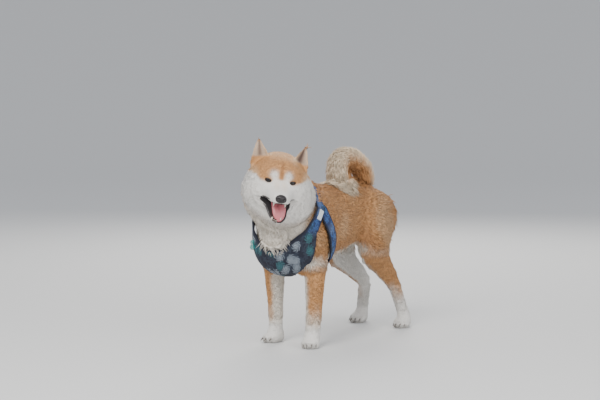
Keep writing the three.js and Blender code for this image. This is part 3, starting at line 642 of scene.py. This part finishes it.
def build_eye(side, material):
    l, f, u = eye_frame(side)
    centre = EYE[side]
    rings, turns = 28, 40
    verts, colours = [], []
    for i in range(rings + 1):
        polar = math.pi * (i / rings) ** 1.25
        for j in range(turns):
            t = 2 * math.pi * j / turns
            share = math.sin(polar) if polar < math.pi / 2 else 1
            bulge = 1 + 0.05 * max(0, 1 - (share / 0.8) ** 2) * (polar < math.pi / 2)
            way = f * math.cos(polar) + (l * math.cos(t) + u * math.sin(t)) * math.sin(polar)
            verts.append(centre + way * EYE_RADIUS * bulge)
            streak = 0.85 + 0.15 * math.sin(t * 23 + 2 * math.sin(t * 7))
            if share < PUPIL_SHARE:
                colours.append(PUPIL_BLACK)
            elif share < IRIS_SHARE:
                warm = (share - PUPIL_SHARE) / (IRIS_SHARE - PUPIL_SHARE)
                colours.append(tuple(IRIS_BROWN * (1.25 - 0.85 * warm) * streak))
            else:
                colours.append(EYE_WHITE_IN_SHADE)
    eye = mesh_object("eyeball_" + side, verts, grid_faces(rings + 1, turns))
    bm = bmesh.new()
    bm.from_mesh(eye.data)
    bmesh.ops.recalc_face_normals(bm, faces=bm.faces)
    bm.to_mesh(eye.data)
    bm.free()
    add_colours(eye.data, "Coat", np.array(colours))
    eye.data.materials.append(material)
    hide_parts("eye_" + side)
    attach(eye, "root")


# Lids: black rims that hug the eyeball along an almond outline, and the soft skin round them
EYE_WIDTH = 17.0 * MM
EYE_HEIGHT = 7.8 * MM
EYE_LOW = 1.0 * MM
EYE_SLANT = math.radians(19)
LID_STEPS = 48


def lid_ring(side, material):
    f = eye_frame(side)[1]
    out = HEAD_L if side == "left" else -HEAD_L
    across = (out * math.cos(EYE_SLANT) + HEAD_U * math.sin(EYE_SLANT)).normalized()
    across = (across - f * across.dot(f)).normalized()
    up = f.cross(across).normalized()
    if up.dot(HEAD_U) < 0:
        up = -up
    points, radii = [], []
    for i in range(LID_STEPS + 1):
        t = 2 * math.pi * i / LID_STEPS
        x = EYE_WIDTH / 2 * math.cos(t)
        y = EYE_HEIGHT / 2 * math.sin(t) * abs(math.sin(t)) ** 0.45
        if y < 0:
            y *= 0.85
        ball = EYE_RADIUS + 0.5 * MM
        depth = math.sqrt(max(ball**2 - x * x - y * y, 1e-9))
        points.append(EYE[side] + across * x + up * (y - EYE_LOW) + f * depth)
        radii.append((0.95 + 0.35 * max(0, math.sin(t))) * MM)
    lid_skin(side, points[:LID_STEPS], skin.data.materials[0])
    ring = tube("lid_" + side, points, radii)
    ring.data.materials.append(material)
    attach(ring, "root")


def lid_skin(side, rim, material):
    """The soft skin of the lids: it hugs the eyeball from the black rim out to the face."""
    inner = np.array([tuple(v) for v in rim])
    centre = np.array(EYE[side])
    forward = np.array(eye_frame(side)[1])
    rim_middle = inner.mean(0)
    away = inner - rim_middle
    away -= forward * (away @ forward)[:, None]
    rows = [inner]
    for k in (1, 2, 3, 4):
        spread = inner + unit(away) * 1.5 * k * MM
        rows.append(centre + unit(spread - centre) * (EYE_RADIUS + (0.75 - 0.06 * k) * MM))
    verts = np.concatenate(rows)
    lid = mesh_object("lid_skin_" + side, verts, grid_faces(len(rows), LID_STEPS))
    outward = np.tile(forward, (len(verts), 1))
    rim_black = np.repeat([1.0, 0.45, 0.0, 0.0, 0.0], LID_STEPS)
    add_colours(lid.data, "Coat", mix(markings(verts + outward * 2 * MM, outward), BLACK, rim_black))
    lid.data.materials.append(material)
    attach(lid, "root")


def wet_material(name, colour, roughness, bumps, scale):
    """A plain colour with small cells in it, which also roughen it by bumps."""
    mat, tree, shader = new_material(name, roughness)
    coords = node(tree, "ShaderNodeTexCoord")
    grain = node(tree, "ShaderNodeTexVoronoi", Scale=scale)
    tree.links.new(coords.outputs["Object"], grain.inputs["Vector"])
    ramp = node(tree, "ShaderNodeMixRGB", blend_type="MIX")
    ramp.inputs[1].default_value = (*[c * 0.72 for c in colour], 1)
    ramp.inputs[2].default_value = (*[min(1, c * 1.15) for c in colour], 1)
    tree.links.new(grain.outputs["Distance"], ramp.inputs[0])
    tree.links.new(ramp.outputs[0], shader.inputs["Base Color"])
    if bumps:
        bump(tree, shader, grain.outputs["Distance"], bumps, 0.0006)
    return mat


black_skin = wet_material("black_skin", (0.014, 0.011, 0.012), 0.42, 0.35, 700.0)
lip_skin = wet_material("lip_skin", (0.020, 0.014, 0.015), 0.30, 0.2, 500.0)
tongue_skin = wet_material("tongue_skin", (0.60, 0.17, 0.19), 0.34, 0.3, 700.0)
tooth_white = wet_material("tooth_white", (0.78, 0.72, 0.60), 0.25, 0.0, 200.0)

gloss = eye_material()
for side in ("left", "right"):
    build_eye(side, gloss)
    lid_ring(side, black_skin)

# Nose pad: rounder, with its two comma-shaped nostrils and the groove below
nose = smooth_copy("nose_pad", ["nose"], 0.9 * MM, 8)
nose.data.materials.append(black_skin)
l, f, u = head_local(coordinates(nose.data)).T
dent = 0.8 * np.exp(-((l / 0.8) ** 2)) * step(-24, -32, u)
for s in (1, -1):
    spot = np.hypot((l * s - 6.2) / 2.6, (u + 29.5) / 2.3)
    dent += 3.4 * np.exp(-(spot**2) * 1.4) * (f > 68)
press_in(nose, dent)
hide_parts("nose")
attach(nose, "root")

# Tongue: smooth, with a groove down its middle
tongue = smooth_copy("tongue_soft", ["tongue"], 1.2 * MM, 12)
tongue.data.materials.append(tongue_skin)
l = head_local(coordinates(tongue.data))[:, 0]
swell = np.exp(-((np.abs(l) - 6) / 4) ** 2)
press_in(tongue, 1.5 * np.exp(-((l / 1.8) ** 2)) - 0.5 * swell)
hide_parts("tongue")
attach(tongue, "root")

# Lips: black edges found by casting in from outside towards the mouth's middle
MOUTH_AT = head_at(0, MOUTH_F, MOUTH_U)
skin_tree = tree_of(skin)


LIP_SPREAD = 98
LIP_POINTS = 33


def lip_line(origin, forward):
    """Points on the mouth's edge, cast in from outside across one plane, then evened out."""
    points = []
    for i in range(LIP_POINTS):
        angle = math.radians((i / (LIP_POINTS - 1) * 2 - 1) * LIP_SPREAD)
        way = (forward * math.cos(angle) + HEAD_L * math.sin(angle)).normalized()
        reach = 0.090 * math.cos(angle) ** 2 + 0.047 * math.sin(angle) ** 2
        hit = skin_tree.ray_cast(origin + way * reach, -way, reach)[0]
        points.append(hit if hit is not None else origin + way * 0.02)
    line = np.array([tuple(p) for p in points])
    for _ in range(6):
        line[1:-1] = (line[:-2] + 2 * line[1:-1] + line[2:]) / 4
    return line


def build_lip(name, line, thick):
    share = np.linspace(0, 1, len(line))
    radii = (0.7 + thick * np.sin(math.pi * share) ** 0.5) * MM
    lip = tube(name, line, radii)
    lip.data.materials.append(lip_skin)
    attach(lip, "root")


build_lip("upper_lip", lip_line(MOUTH_AT + HEAD_F * 14 * MM + HEAD_U * 3.2 * MM, HEAD_F), 1.0)
build_lip("lower_lip", lip_line(MOUTH_AT + JAW_F * 18 * MM - JAW_U * 6.0 * MM, JAW_F), 1.7)


# Teeth: the canines and a row of small front teeth
def tooth(name, base, way, length, radius, curve=0.0):
    along = [i / 6 for i in range(7)]
    points = [base + way * (length * t) - HEAD_F * curve * t**2 for t in along]
    radii = [radius * (1.0 - t**1.6 * 0.93) for t in along]
    obj = tube(name, points, radii)
    obj.data.materials.append(tooth_white)
    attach(obj, "root")


for s, side in ((1, "left"), (-1, "right")):
    tooth("upper_canine_" + side, head_at(s * 13, 60, -35), -HEAD_U, 15 * MM, 2.9 * MM, 2.5 * MM)
    lower = MOUTH_AT + JAW_F * 54 * MM + HEAD_L * s * 10 * MM - JAW_U * 3 * MM
    tooth("lower_canine_" + side, lower, JAW_U, 13 * MM, 2.5 * MM, 1.5 * MM)
for i in range(6):
    across = (i - 2.5) * 3.6
    tooth(f"upper_incisor_{i + 1}", head_at(across, 66 - 0.12 * across**2, -37), -HEAD_U, 5.5 * MM, 1.6 * MM)
    low = MOUTH_AT + JAW_F * (58 - 0.10 * across**2) * MM + HEAD_L * across * 0.8 * MM - JAW_U * 1.5 * MM
    tooth(f"lower_incisor_{i + 1}", low, JAW_U, 3.4 * MM, 1.1 * MM)

def redress(part, material):
    part.data.materials.clear()
    part.data.materials.append(material)


def round_off(part, levels, render_levels):
    rounding = part.modifiers.new("round", "SUBSURF")
    rounding.levels = levels
    rounding.render_levels = render_levels


# Claws keep their place and take horn
claw_horn = wet_material("claw_horn", (0.10, 0.075, 0.06), 0.4, 0.0, 300.0)
for name, part in NODES.items():
    if "_claw_" in name:
        redress(part, claw_horn)
        round_off(part, 1, 2)


# The vest: smooth padded copies of its two nodes, laid evenly over the smooth outline of the body
CLOTH_UNDER = 1.0 * MM
CLOTH_OVER = 5.0 * MM
MANE_FROM = 0.332


def cloth_zones(p):
    """The bib's distance ahead of its slanted back edge, where its straps and back edge run, and
    the distance from the girth's middle line."""
    q = body_local(p)
    ahead = (q[:, 1] - 190) * 0.885 + (q[:, 2] - 290) * 0.466
    behind_bib = step(163, 161, q[:, 1])
    strap_back = step(-25.5, -27.5, ahead) * behind_bib
    bib_back = step(170, 167.5, q[:, 1]) * step(-26, -30, ahead)
    from_girth = np.abs((q[:, 1] - 118) * 0.894 - (q[:, 2] - 280) * 0.447)
    return ahead, strap_back, bib_back, from_girth


def buried(p):
    """True where the straps run hidden in the mane, over the neck and withers."""
    return p[:, 2] > MANE_FROM


def build_cloth(name, source, is_girth, material):
    """One padded piece of the vest; its Zone attribute holds the binding (red) and the blue (green)."""
    cloth = merged_copy(name, [source], 0.2 * MM)
    remesh(cloth, 1.5 * MM)
    smooth_mesh(cloth, np.full(len(cloth.data.vertices), 4), 4)
    p = coordinates(cloth.data)
    n = normals(cloth.data)
    moved = p.copy()
    hidden = np.clip((p[:, 2] - MANE_FROM) / 0.016, 0, 1)
    under_coat = -coat_depth(p) * MM
    for i in range(len(p)):
        near, out, _, _ = outline_tree.find_nearest(Vector(p[i]))
        outward = max(0.0, min(1.0, 0.5 + 0.9 * float(np.dot(n[i], out))))
        above = CLOTH_UNDER + (CLOTH_OVER - CLOTH_UNDER) * outward
        below = under_coat[i] + (0.2 + 1.6 * outward) * MM
        moved[i] = np.array(near + out * (above * (1 - hidden[i]) + below * hidden[i]))
    set_coordinates(cloth.data, moved)
    smooth_mesh(cloth, np.full(len(p), 12), 12)
    p = coordinates(cloth.data)
    ahead, strap_back, bib_back, from_girth = cloth_zones(p)
    q = body_local(p)
    if is_girth:
        binding = step(10.8, 11.8, from_girth)
        blue = np.ones(len(p))
    else:
        binding = np.clip(step(-5.0, -4.0, ahead) + strap_back + bib_back, 0, 1)
        blue = step(262, 296, q[:, 2])
    add_colours(cloth.data, "Zone", np.stack([binding, blue, 0 * blue], 1))
    redress(cloth, material)
    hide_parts(source)
    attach(cloth, "root")


def sums(tree, operation, *values):
    """A math node on sockets or numbers."""
    m = node(tree, "ShaderNodeMath", operation=operation)
    for i, value in enumerate(values):
        if isinstance(value, (int, float)):
            m.inputs[i].default_value = value
        else:
            tree.links.new(value, m.inputs[i])
    return m.outputs[0]


def product(tree, a, b):
    return sums(tree, "MULTIPLY", a, b)


def total(tree, a, b):
    return sums(tree, "ADD", a, b)


def split_up(tree, vector):
    """The three numbers of a vector or colour."""
    parts = node(tree, "ShaderNodeSeparateXYZ")
    tree.links.new(vector, parts.inputs[0])
    return parts.outputs


def colour_mix(tree, weight, a, b):
    m = node(tree, "ShaderNodeMixRGB", blend_type="MIX")
    tree.links.new(weight, m.inputs[0])
    for i, value in ((1, a), (2, b)):
        if isinstance(value, tuple):
            m.inputs[i].default_value = (*value, 1)
        else:
            tree.links.new(value, m.inputs[i])
    return m.outputs[0]


def spray(tree, flat, scale, reach, petals, strands, turn):
    """A feathery flower in each cell of a scattered grid: its mask and its cell's random colour."""
    cell = node(tree, "ShaderNodeTexVoronoi", voronoi_dimensions="2D", Scale=scale, Randomness=0.85)
    tree.links.new(flat, cell.inputs["Vector"])
    gap = node(tree, "ShaderNodeVectorMath", operation="SUBTRACT")
    tree.links.new(flat, gap.inputs[0])
    tree.links.new(cell.outputs["Position"], gap.inputs[1])
    x, y, _ = split_up(tree, gap.outputs[0])
    angle = sums(tree, "ARCTAN2", y, x)
    radius = sums(tree, "SQRT", total(tree, product(tree, x, x), product(tree, y, y)))
    phase, pick, _ = split_up(tree, cell.outputs["Color"])
    swirl = total(tree, angle, product(tree, phase, 6.28))
    swirl = total(tree, swirl, product(tree, radius, turn))
    petal = sums(tree, "ABSOLUTE", sums(tree, "SINE", product(tree, swirl, petals / 2)))
    edge = product(tree, total(tree, product(tree, petal, 0.75), 0.25), reach)
    within = sums(tree, "LESS_THAN", radius, edge)
    strand = total(tree, product(tree, swirl, strands), product(tree, radius, 900))
    fine = sums(tree, "GREATER_THAN", sums(tree, "SINE", strand), 0.15)
    return product(tree, within, fine), pick


NAVY = (0.006, 0.008, 0.020)
STRAP_BLUE = (0.010, 0.024, 0.085)
PRINT_WHITE = (0.36, 0.42, 0.48)
PRINT_TEAL = (0.03, 0.17, 0.19)
PRINT_BLUE = (0.045, 0.13, 0.36)
PRINT_GREY = (0.028, 0.042, 0.065)


def printed_cloth():
    """Navy cloth with white and teal flowers, blue leaves on the straps and a plain binding."""
    mat, tree, shader = new_material("printed_cloth", 0.82)
    place = node(tree, "ShaderNodeTexCoord").outputs["Object"]
    x, y, z = split_up(tree, place)
    round_the_body = total(tree, x, product(tree, sums(tree, "SIGN", x), y))
    flat = node(tree, "ShaderNodeCombineXYZ")
    tree.links.new(round_the_body, flat.inputs[0])
    tree.links.new(z, flat.inputs[1])
    flat = flat.outputs[0]
    zone = node(tree, "ShaderNodeAttribute", attribute_name="Zone")
    binding, blue, _ = split_up(tree, zone.outputs["Vector"])
    ground = colour_mix(tree, blue, NAVY, STRAP_BLUE)
    leaves, _ = spray(tree, flat, 58.0, 0.0095, 5, 9.0, 60.0)
    leaf_colour = colour_mix(tree, blue, PRINT_GREY, PRINT_BLUE)
    colour = colour_mix(tree, leaves, ground, leaf_colour)
    flowers, pick = spray(tree, flat, 29.0, 0.0150, 9, 19.0, 110.0)
    is_teal = sums(tree, "GREATER_THAN", pick, 0.66)
    flower_colour = colour_mix(tree, is_teal, PRINT_WHITE, PRINT_TEAL)
    off_straps = sums(tree, "SUBTRACT", 1.0, product(tree, blue, 0.75))
    colour = colour_mix(tree, product(tree, flowers, off_straps), colour, flower_colour)
    colour = colour_mix(tree, binding, colour, NAVY)
    tree.links.new(colour, shader.inputs["Base Color"])
    weave = node(tree, "ShaderNodeTexNoise", Scale=1400.0, Detail=2.0)
    tree.links.new(place, weave.inputs["Vector"])
    soft = node(tree, "ShaderNodeTexNoise", Scale=38.0, Detail=3.0)
    tree.links.new(place, soft.inputs["Vector"])
    height = total(tree, product(tree, weave.outputs["Fac"], 0.15), soft.outputs["Fac"])
    height = total(tree, height, product(tree, binding, 0.35))
    bump(tree, shader, height, 0.55, 0.003)
    return mat


cloth_print = printed_cloth()
build_cloth("bib_cloth", "harness_bib", False, cloth_print)
build_cloth("girth_cloth", "harness_girth", True, cloth_print)
redress(NODES["harness_label"], wet_material("label_tape", (0.62, 0.66, 0.70), 0.7, 0.0, 900.0))
redress(NODES["harness_charm"], wet_material("charm_gloss", (0.03, 0.30, 0.28), 0.18, 0.0, 120.0))
round_off(NODES["harness_charm"], 2, 2)


# Coat: mesh tufts over the skin, following its lie
def triangles_of(mesh):
    mesh.calc_loop_triangles()
    tri = np.zeros(len(mesh.loop_triangles) * 3, np.int32)
    mesh.loop_triangles.foreach_get("vertices", tri)
    return tri.reshape(-1, 3)


def coat_plan(p, n):
    """For points of the skin: tufts per square millimetre, length and half width in millimetres,
    lift in degrees, lie, and the zones."""
    z = zones(p)
    q, h = z["q"], z["h"]
    l, f, u = h[:, 0], h[:, 1], h[:, 2]
    side = np.sign(q[:, 0])
    one = np.ones(len(p))
    under = step(240, 205, q[:, 2]) * step(0.3, -0.6, n[:, 2])
    rump = step(-170, -225, q[:, 1]) * step(140, 200, q[:, 2])
    plan = [0.20 * one, 17 + 10 * rump + 4 * under, 1.35 * one, 14 + 10 * rump]
    lie = np.stack([0 * one, -one, -0.25 - 0.6 * step(320, 230, q[:, 2]) - 1.2 * rump], 1)
    front = step(0.2, 0.8, -n[:, 1]) * step(120, 170, q[:, 1])
    lie = mix(lie, np.stack([0 * one, -0.2 * one, -one], 1), front)

    def take(weight, values, way):
        nonlocal lie
        for i, value in enumerate(values):
            plan[i] = plan[i] * (1 - weight) + value * weight
        lie = mix(lie, unit(way), weight)

    take(z["neck"], (0.24, 21, 1.25, 15), np.stack([0.15 * side, -0.75 * one, -one], 1))
    take(z["fore"], (0.26, 9, 0.95, 12), np.stack([0 * one, -0.2 * one, -one], 1))
    behind = step(0.2, 0.8, n[:, 1]) * step(90, 150, q[:, 2])
    hind = (0.24, 10 + 10 * behind, 1.0, 12 + 10 * behind)
    take(z["hind"], hind, np.stack([0 * one, -0.55 * one, -one], 1))
    take(z["foot"], (0.40, 5, 0.7, 10), np.stack([0 * one, 0.5 * one, -0.6 * one], 1))
    take(z["tail"], (0.34, 27, 1.25, 23), TAIL_WAY[z["nearest"]])
    # The head's lie runs from the nose up over the crown and out over the cheeks
    from_nose = unit(h - np.array([0, 84, -30]))
    back = step(-10, -50, f)
    cheek_lie = unit(np.stack([0.5 * np.sign(l), -one, -0.55 * one], 1))
    from_nose = mix(from_nose, cheek_lie, back * step(30, -10, u))
    way_body = np.einsum("ij,jk->ik", from_nose, HEAD_AXES) * np.array([1, -1, 1])
    fluffy = step(-8, -46, f) * step(26, -6, u)
    muzzle = step(14, 34, f)
    face = (
        0.58 - 0.22 * fluffy + 0.35 * muzzle,
        6 + 8 * fluffy - 2.6 * muzzle,
        0.72 + 0.3 * fluffy - 0.2 * muzzle,
        11 + 7 * fluffy,
    )
    take(z["head"], face, way_body)
    ear_up = np.array([HEAD_U.x, -HEAD_U.y, HEAD_U.z])
    take(z["ear"], (0.5, 3.4 - 2.0 * step(60, 84, u), 0.5, 5), ear_up)
    # Body-frame ways run forward along the second axis; the world's +Y runs back
    lie = lie * np.array([1, -1, 1])
    return *plan, lie, z


HARNESS = [name for name in NODES if name.startswith("harness")]


def bvh_of(names):
    verts, faces = [], []
    for name in names:
        data = NODES[name].data
        base = len(verts)
        verts += [v.co.copy() for v in data.vertices]
        faces += [[base + i for i in poly.vertices] for poly in data.polygons]
    return BVHTree.FromPolygons(verts, faces)


def covered(points, ways, names, reach):
    """True for each point with one of these nodes within reach along its way."""
    tree = bvh_of(names)
    hits = np.zeros(len(points), bool)
    for i, (p, w) in enumerate(zip(points, ways)):
        hits[i] = tree.ray_cast(Vector(p - w * 0.004), Vector(w), reach)[0] is not None
    return hits


def skin_roots(density_scale):
    """Points and normals scattered over the skin, as many to each triangle as the coat's plan asks."""
    mesh = skin.data
    co = coordinates(mesh)
    no = normals(mesh)
    tri = triangles_of(mesh)
    a, b, c = co[tri[:, 0]], co[tri[:, 1]], co[tri[:, 2]]
    area = np.linalg.norm(np.cross(b - a, c - a), axis=1) / 2 / MM**2
    centre = (a + b + c) / 3
    dense = coat_plan(centre, unit(no[tri].mean(1)))[0]
    wanted = area * dense * density_scale
    number = np.floor(wanted + rng.random(len(wanted))).astype(int)
    which = np.repeat(np.arange(len(tri)), number)
    r1 = np.sqrt(rng.random(len(which)))[:, None]
    r2 = rng.random(len(which))[:, None]

    def spread(first, second, third):
        return first * (1 - r1) + second * r1 * (1 - r2) + third * r1 * r2

    corners = tri[which]
    n = spread(no[corners[:, 0]], no[corners[:, 1]], no[corners[:, 2]])
    return spread(a[which], b[which], c[which]), unit(n)


def unwrap(z):
    """A place on the unwrapped skin: round and along the trunk, the head, the tail and each leg."""
    q, h = z["q"], z["h"]

    def turn(y, x):
        return np.arctan2(y, x) / (2 * math.pi) + 0.5

    u = 0.02 + 0.56 * turn(q[:, 0], q[:, 2] - 290)
    v = 0.02 + 0.56 * np.clip((q[:, 1] + 250) / 520, 0, 1)
    head = z["head"] > 0.5
    hc = h - np.array([0, -40, 0])
    hu = 0.61 + 0.37 * turn(hc[:, 0], hc[:, 1])
    hv = 0.02 + 0.56 * (np.arctan2(hc[:, 2], np.hypot(hc[:, 0], hc[:, 1])) / math.pi + 0.5)
    u, v = np.where(head, hu, u), np.where(head, hv, v)
    tail = z["tail"] > 0.5
    gap = q - TAIL_LINE[z["nearest"]]
    tu = 0.61 + 0.37 * turn(gap[:, 0], gap[:, 1] * 0.6 + gap[:, 2] * 0.8)
    u, v = np.where(tail, tu, u), np.where(tail, 0.61 + 0.37 * z["along"], v)
    for i, (key, left) in enumerate((("fore", 1), ("fore", -1), ("hind", 1), ("hind", -1))):
        here = (z[key] > 0.5) & (q[:, 0] * left > 0) & ~head & ~tail
        middle_a = 128 if key == "fore" else -225
        lu = 0.02 + 0.145 * i + 0.12 * turn(q[:, 0] - 61 * left, q[:, 1] - middle_a)
        u, v = np.where(here, lu, u), np.where(here, 0.61 + 0.37 * np.clip(q[:, 2] / 230, 0, 1), v)
    return np.stack([u, v], 1)


TUFT_SIDES = 3
PATCH = 0.003


def tuft_arrays(p, n):
    """Seven corners for each tuft: three at its root, three at its middle and its tip."""
    _, length, width, lift, lie, z = coat_plan(p, n)
    count = len(p)
    lie = lie - n * np.einsum("ij,ij->i", lie, n)[:, None]
    lie = unit(lie)
    across = np.cross(n, lie)
    # neighbouring tufts lean together, so that the coat falls into soft clumps
    lean = 0.30 * wobble(p, 0.006, 11) + 0.22 * wobble(p, 0.0023, 12) + 0.10 * rng.standard_normal(count)
    lie = unit(lie + across * lean[:, None])
    across = np.cross(n, lie)
    vary = 1 + 0.22 * wobble(p, 0.004, 13) + 0.12 * rng.standard_normal(count)
    length = length * np.clip(vary, 0.45, 1.5) * MM
    width = width * MM * (0.8 + 0.4 * rng.random(count))
    rise = np.radians(lift * (1 + 0.25 * rng.standard_normal(count)))
    d0 = lie * np.cos(rise)[:, None] + n * np.sin(rise)[:, None]
    bend = rise * 0.1 - math.radians(4)
    d1 = lie * np.cos(bend)[:, None] + n * np.sin(bend)[:, None]
    root = p - n * 0.6 * MM
    mid = root + d0 * (0.5 * length)[:, None]
    tip = mid + unit(d0 * 0.4 + d1) * (0.5 * length)[:, None]
    verts = np.zeros((count, 7, 3))
    for k in range(TUFT_SIDES):
        angle = (math.pi * 1.17, math.pi * 1.83, math.pi * 0.5)[k]
        offset = across * math.cos(angle) + n * (math.sin(angle) * 0.45)
        verts[:, k] = root + offset * (width * 0.75)[:, None]
        verts[:, 3 + k] = mid + offset * width[:, None]
    verts[:, 6] = tip
    return verts, z


TUFT_SIDE_FACES = [(0, 1, 4), (0, 4, 3), (1, 2, 5), (1, 5, 4), (2, 0, 3), (2, 3, 5)]
TUFT_END_FACES = [(3, 4, 6), (4, 5, 6), (5, 3, 6), (2, 1, 0)]
TUFT_FACES = np.array(TUFT_SIDE_FACES + TUFT_END_FACES)
TUFT_SHADE = np.array([0.72, 0.72, 0.72, 0.96, 0.96, 0.96, 1.10])
TUFT_UV = np.array([(-0.4, 0), (0.4, 0), (0, 0.1), (-0.3, 0.5), (0.3, 0.5), (0, 0.5), (0, 1.0)]) * PATCH


TUFTS_EACH = 19500


def build_coat(p, n, name, material):
    """The tufts in pieces of up to TUFTS_EACH, each painted as the skin under it."""
    verts, z = tuft_arrays(p, n)
    colours = markings(p, n)
    pale = step(0.35, 0.75, colours.min(1))
    vary = 1 + rng.standard_normal(len(p)) * (0.10 * (1 - pale) + 0.035 * pale)
    vary += 0.08 * wobble(p, 0.003, 17) * (1 - pale)
    base = unwrap(z)
    shade_range = 1 - (1 - TUFT_SHADE)[None, :] * (1 - 0.45 * pale)[:, None]
    shade = shade_range * np.clip(vary, 0.6, 1.35)[:, None]
    tuft_colours = np.clip(colours[:, None, :] * shade[:, :, None], 0, 1)
    for i, start in enumerate(range(0, len(p), TUFTS_EACH)):
        part = slice(start, min(start + TUFTS_EACH, len(p)))
        k = part.stop - part.start
        data = bpy.data.meshes.new(f"{name}_{i + 1}")
        flat = verts[part].reshape(-1, 3)
        faces = (TUFT_FACES + 7 * np.arange(k)[:, None, None]).reshape(-1, 3)
        data.vertices.add(len(flat))
        data.vertices.foreach_set("co", flat.astype(np.float32).ravel())
        data.loops.add(faces.size)
        data.loops.foreach_set("vertex_index", faces.astype(np.int32).ravel())
        data.polygons.add(len(faces))
        data.polygons.foreach_set("loop_start", np.arange(0, faces.size, 3, dtype=np.int32))
        data.update(calc_edges=True)
        data.shade_smooth()
        add_colours(data, "Coat", tuft_colours[part].reshape(-1, 3))
        uv = data.uv_layers.new(name="OFBake")
        places = (base[part][:, None, :] + TUFT_UV).reshape(-1, 2)[faces.ravel()]
        uv.data.foreach_set("uv", places.astype(np.float32).ravel())
        obj = linked_object(f"{name}_{i + 1}", data)
        data.materials.append(material)
        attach(obj, "root")


root_p, root_n = skin_roots(1.0)
local = head_local(root_p)
inside_mouth = mouth_inside(local, root_n)
near_eye = np.zeros(len(root_p), bool)
for s in (1, -1):
    gap = np.hypot((local[:, 0] * s - EYE_HALF - 1) / 10, (local[:, 2] + 0.6) / 5.6)
    near_eye |= (gap < 1) & (local[:, 1] > -14)
near_nose = np.linalg.norm((local - [0, 73, -29]) / [15, 14, 12], axis=1) < 1
keep = ~(inside_mouth | near_eye | near_nose)
root_p, root_n = root_p[keep], root_n[keep]
keep = ~covered(root_p, root_n, HARNESS, 0.030) | buried(root_p)
root_p, root_n = root_p[keep], root_n[keep]
order = np.lexsort((root_p[:, 0], root_p[:, 1].round(2)))
root_p, root_n = root_p[order], root_n[order]
build_coat(root_p, root_n, "coat", coat_material("coat_fur", 0.62))


# Camera at the photo's angle
LENS = 90
SENSOR = 36
CAMERA_DIP = math.radians(4.12)
VIEW_WAY = Vector((-0.559, 0.829, -math.tan(CAMERA_DIP)))


def aim(obj, place, way):
    obj.location = place
    obj.rotation_euler = way.to_track_quat("-Z", "Y").to_euler()


camera_data = bpy.data.cameras.new("camera")
camera_data.lens = LENS
camera_data.sensor_width = SENSOR
camera = linked_object("camera", camera_data)
aim(camera, CAMERA_AT, VIEW_WAY)
bpy.context.scene.camera = camera

# Lights, aimed at the dog's middle: each one's place, size in metres, watts and colour
DOG_MIDDLE = Vector((0, 0, 0.25))
WHITE_LIGHT = (1, 1, 1)


def area_light(name, place, size, power, colour):
    data = bpy.data.lights.new(name, "AREA")
    data.energy = power
    data.size = size
    data.color = colour
    aim(linked_object(name, data), place, DOG_MIDDLE - Vector(place))


area_light("key", (0.4, -2.4, 2.2), 1.6, 92, (1.0, 0.98, 0.95))
area_light("fill", (2.6, -0.6, 1.2), 2.0, 36, WHITE_LIGHT)
area_light("rim", (-1.2, 2.2, 2.0), 1.2, 60, (1.0, 0.97, 0.92))
SKY_COLOUR = (0.9, 0.93, 1.0, 1)
SKY_STRENGTH = 0.85
world = bpy.data.worlds.new("studio")
bpy.context.scene.world = world
world.use_nodes = True
sky = world.node_tree.nodes["Background"]
sky.inputs[0].default_value = SKY_COLOUR
sky.inputs[1].default_value = SKY_STRENGTH

# The floor is a wide bowl: flat round the dog, and rising gently far away so that no edge shows
FLOOR_FLAT = 7.0
FLOOR_RISE = 6.0
FLOOR_TURNS = 72
FLOOR_COLOUR = (0.62, 0.62, 0.61, 1)
rings = [(0.001, 0.0), (2.0, 0.0), (4.5, 0.0), (FLOOR_FLAT, 0.0)]
rings += [
    (FLOOR_FLAT + FLOOR_RISE * math.sin(math.radians(a)), FLOOR_RISE * (1 - math.cos(math.radians(a))))
    for a in range(4, 61, 4)
]
verts = []
for r, up in rings:
    for j in range(FLOOR_TURNS):
        turn = 2 * math.pi * j / FLOOR_TURNS
        verts.append((r * math.cos(turn), r * math.sin(turn), up))
upward = [face[::-1] for face in grid_faces(len(rings), FLOOR_TURNS)]
floor = mesh_object("floor", verts, upward)
floor_mat, _, floor_shader = new_material("floor", 0.9)
floor_shader.inputs["Base Color"].default_value = FLOOR_COLOUR
floor.data.materials.append(floor_mat)
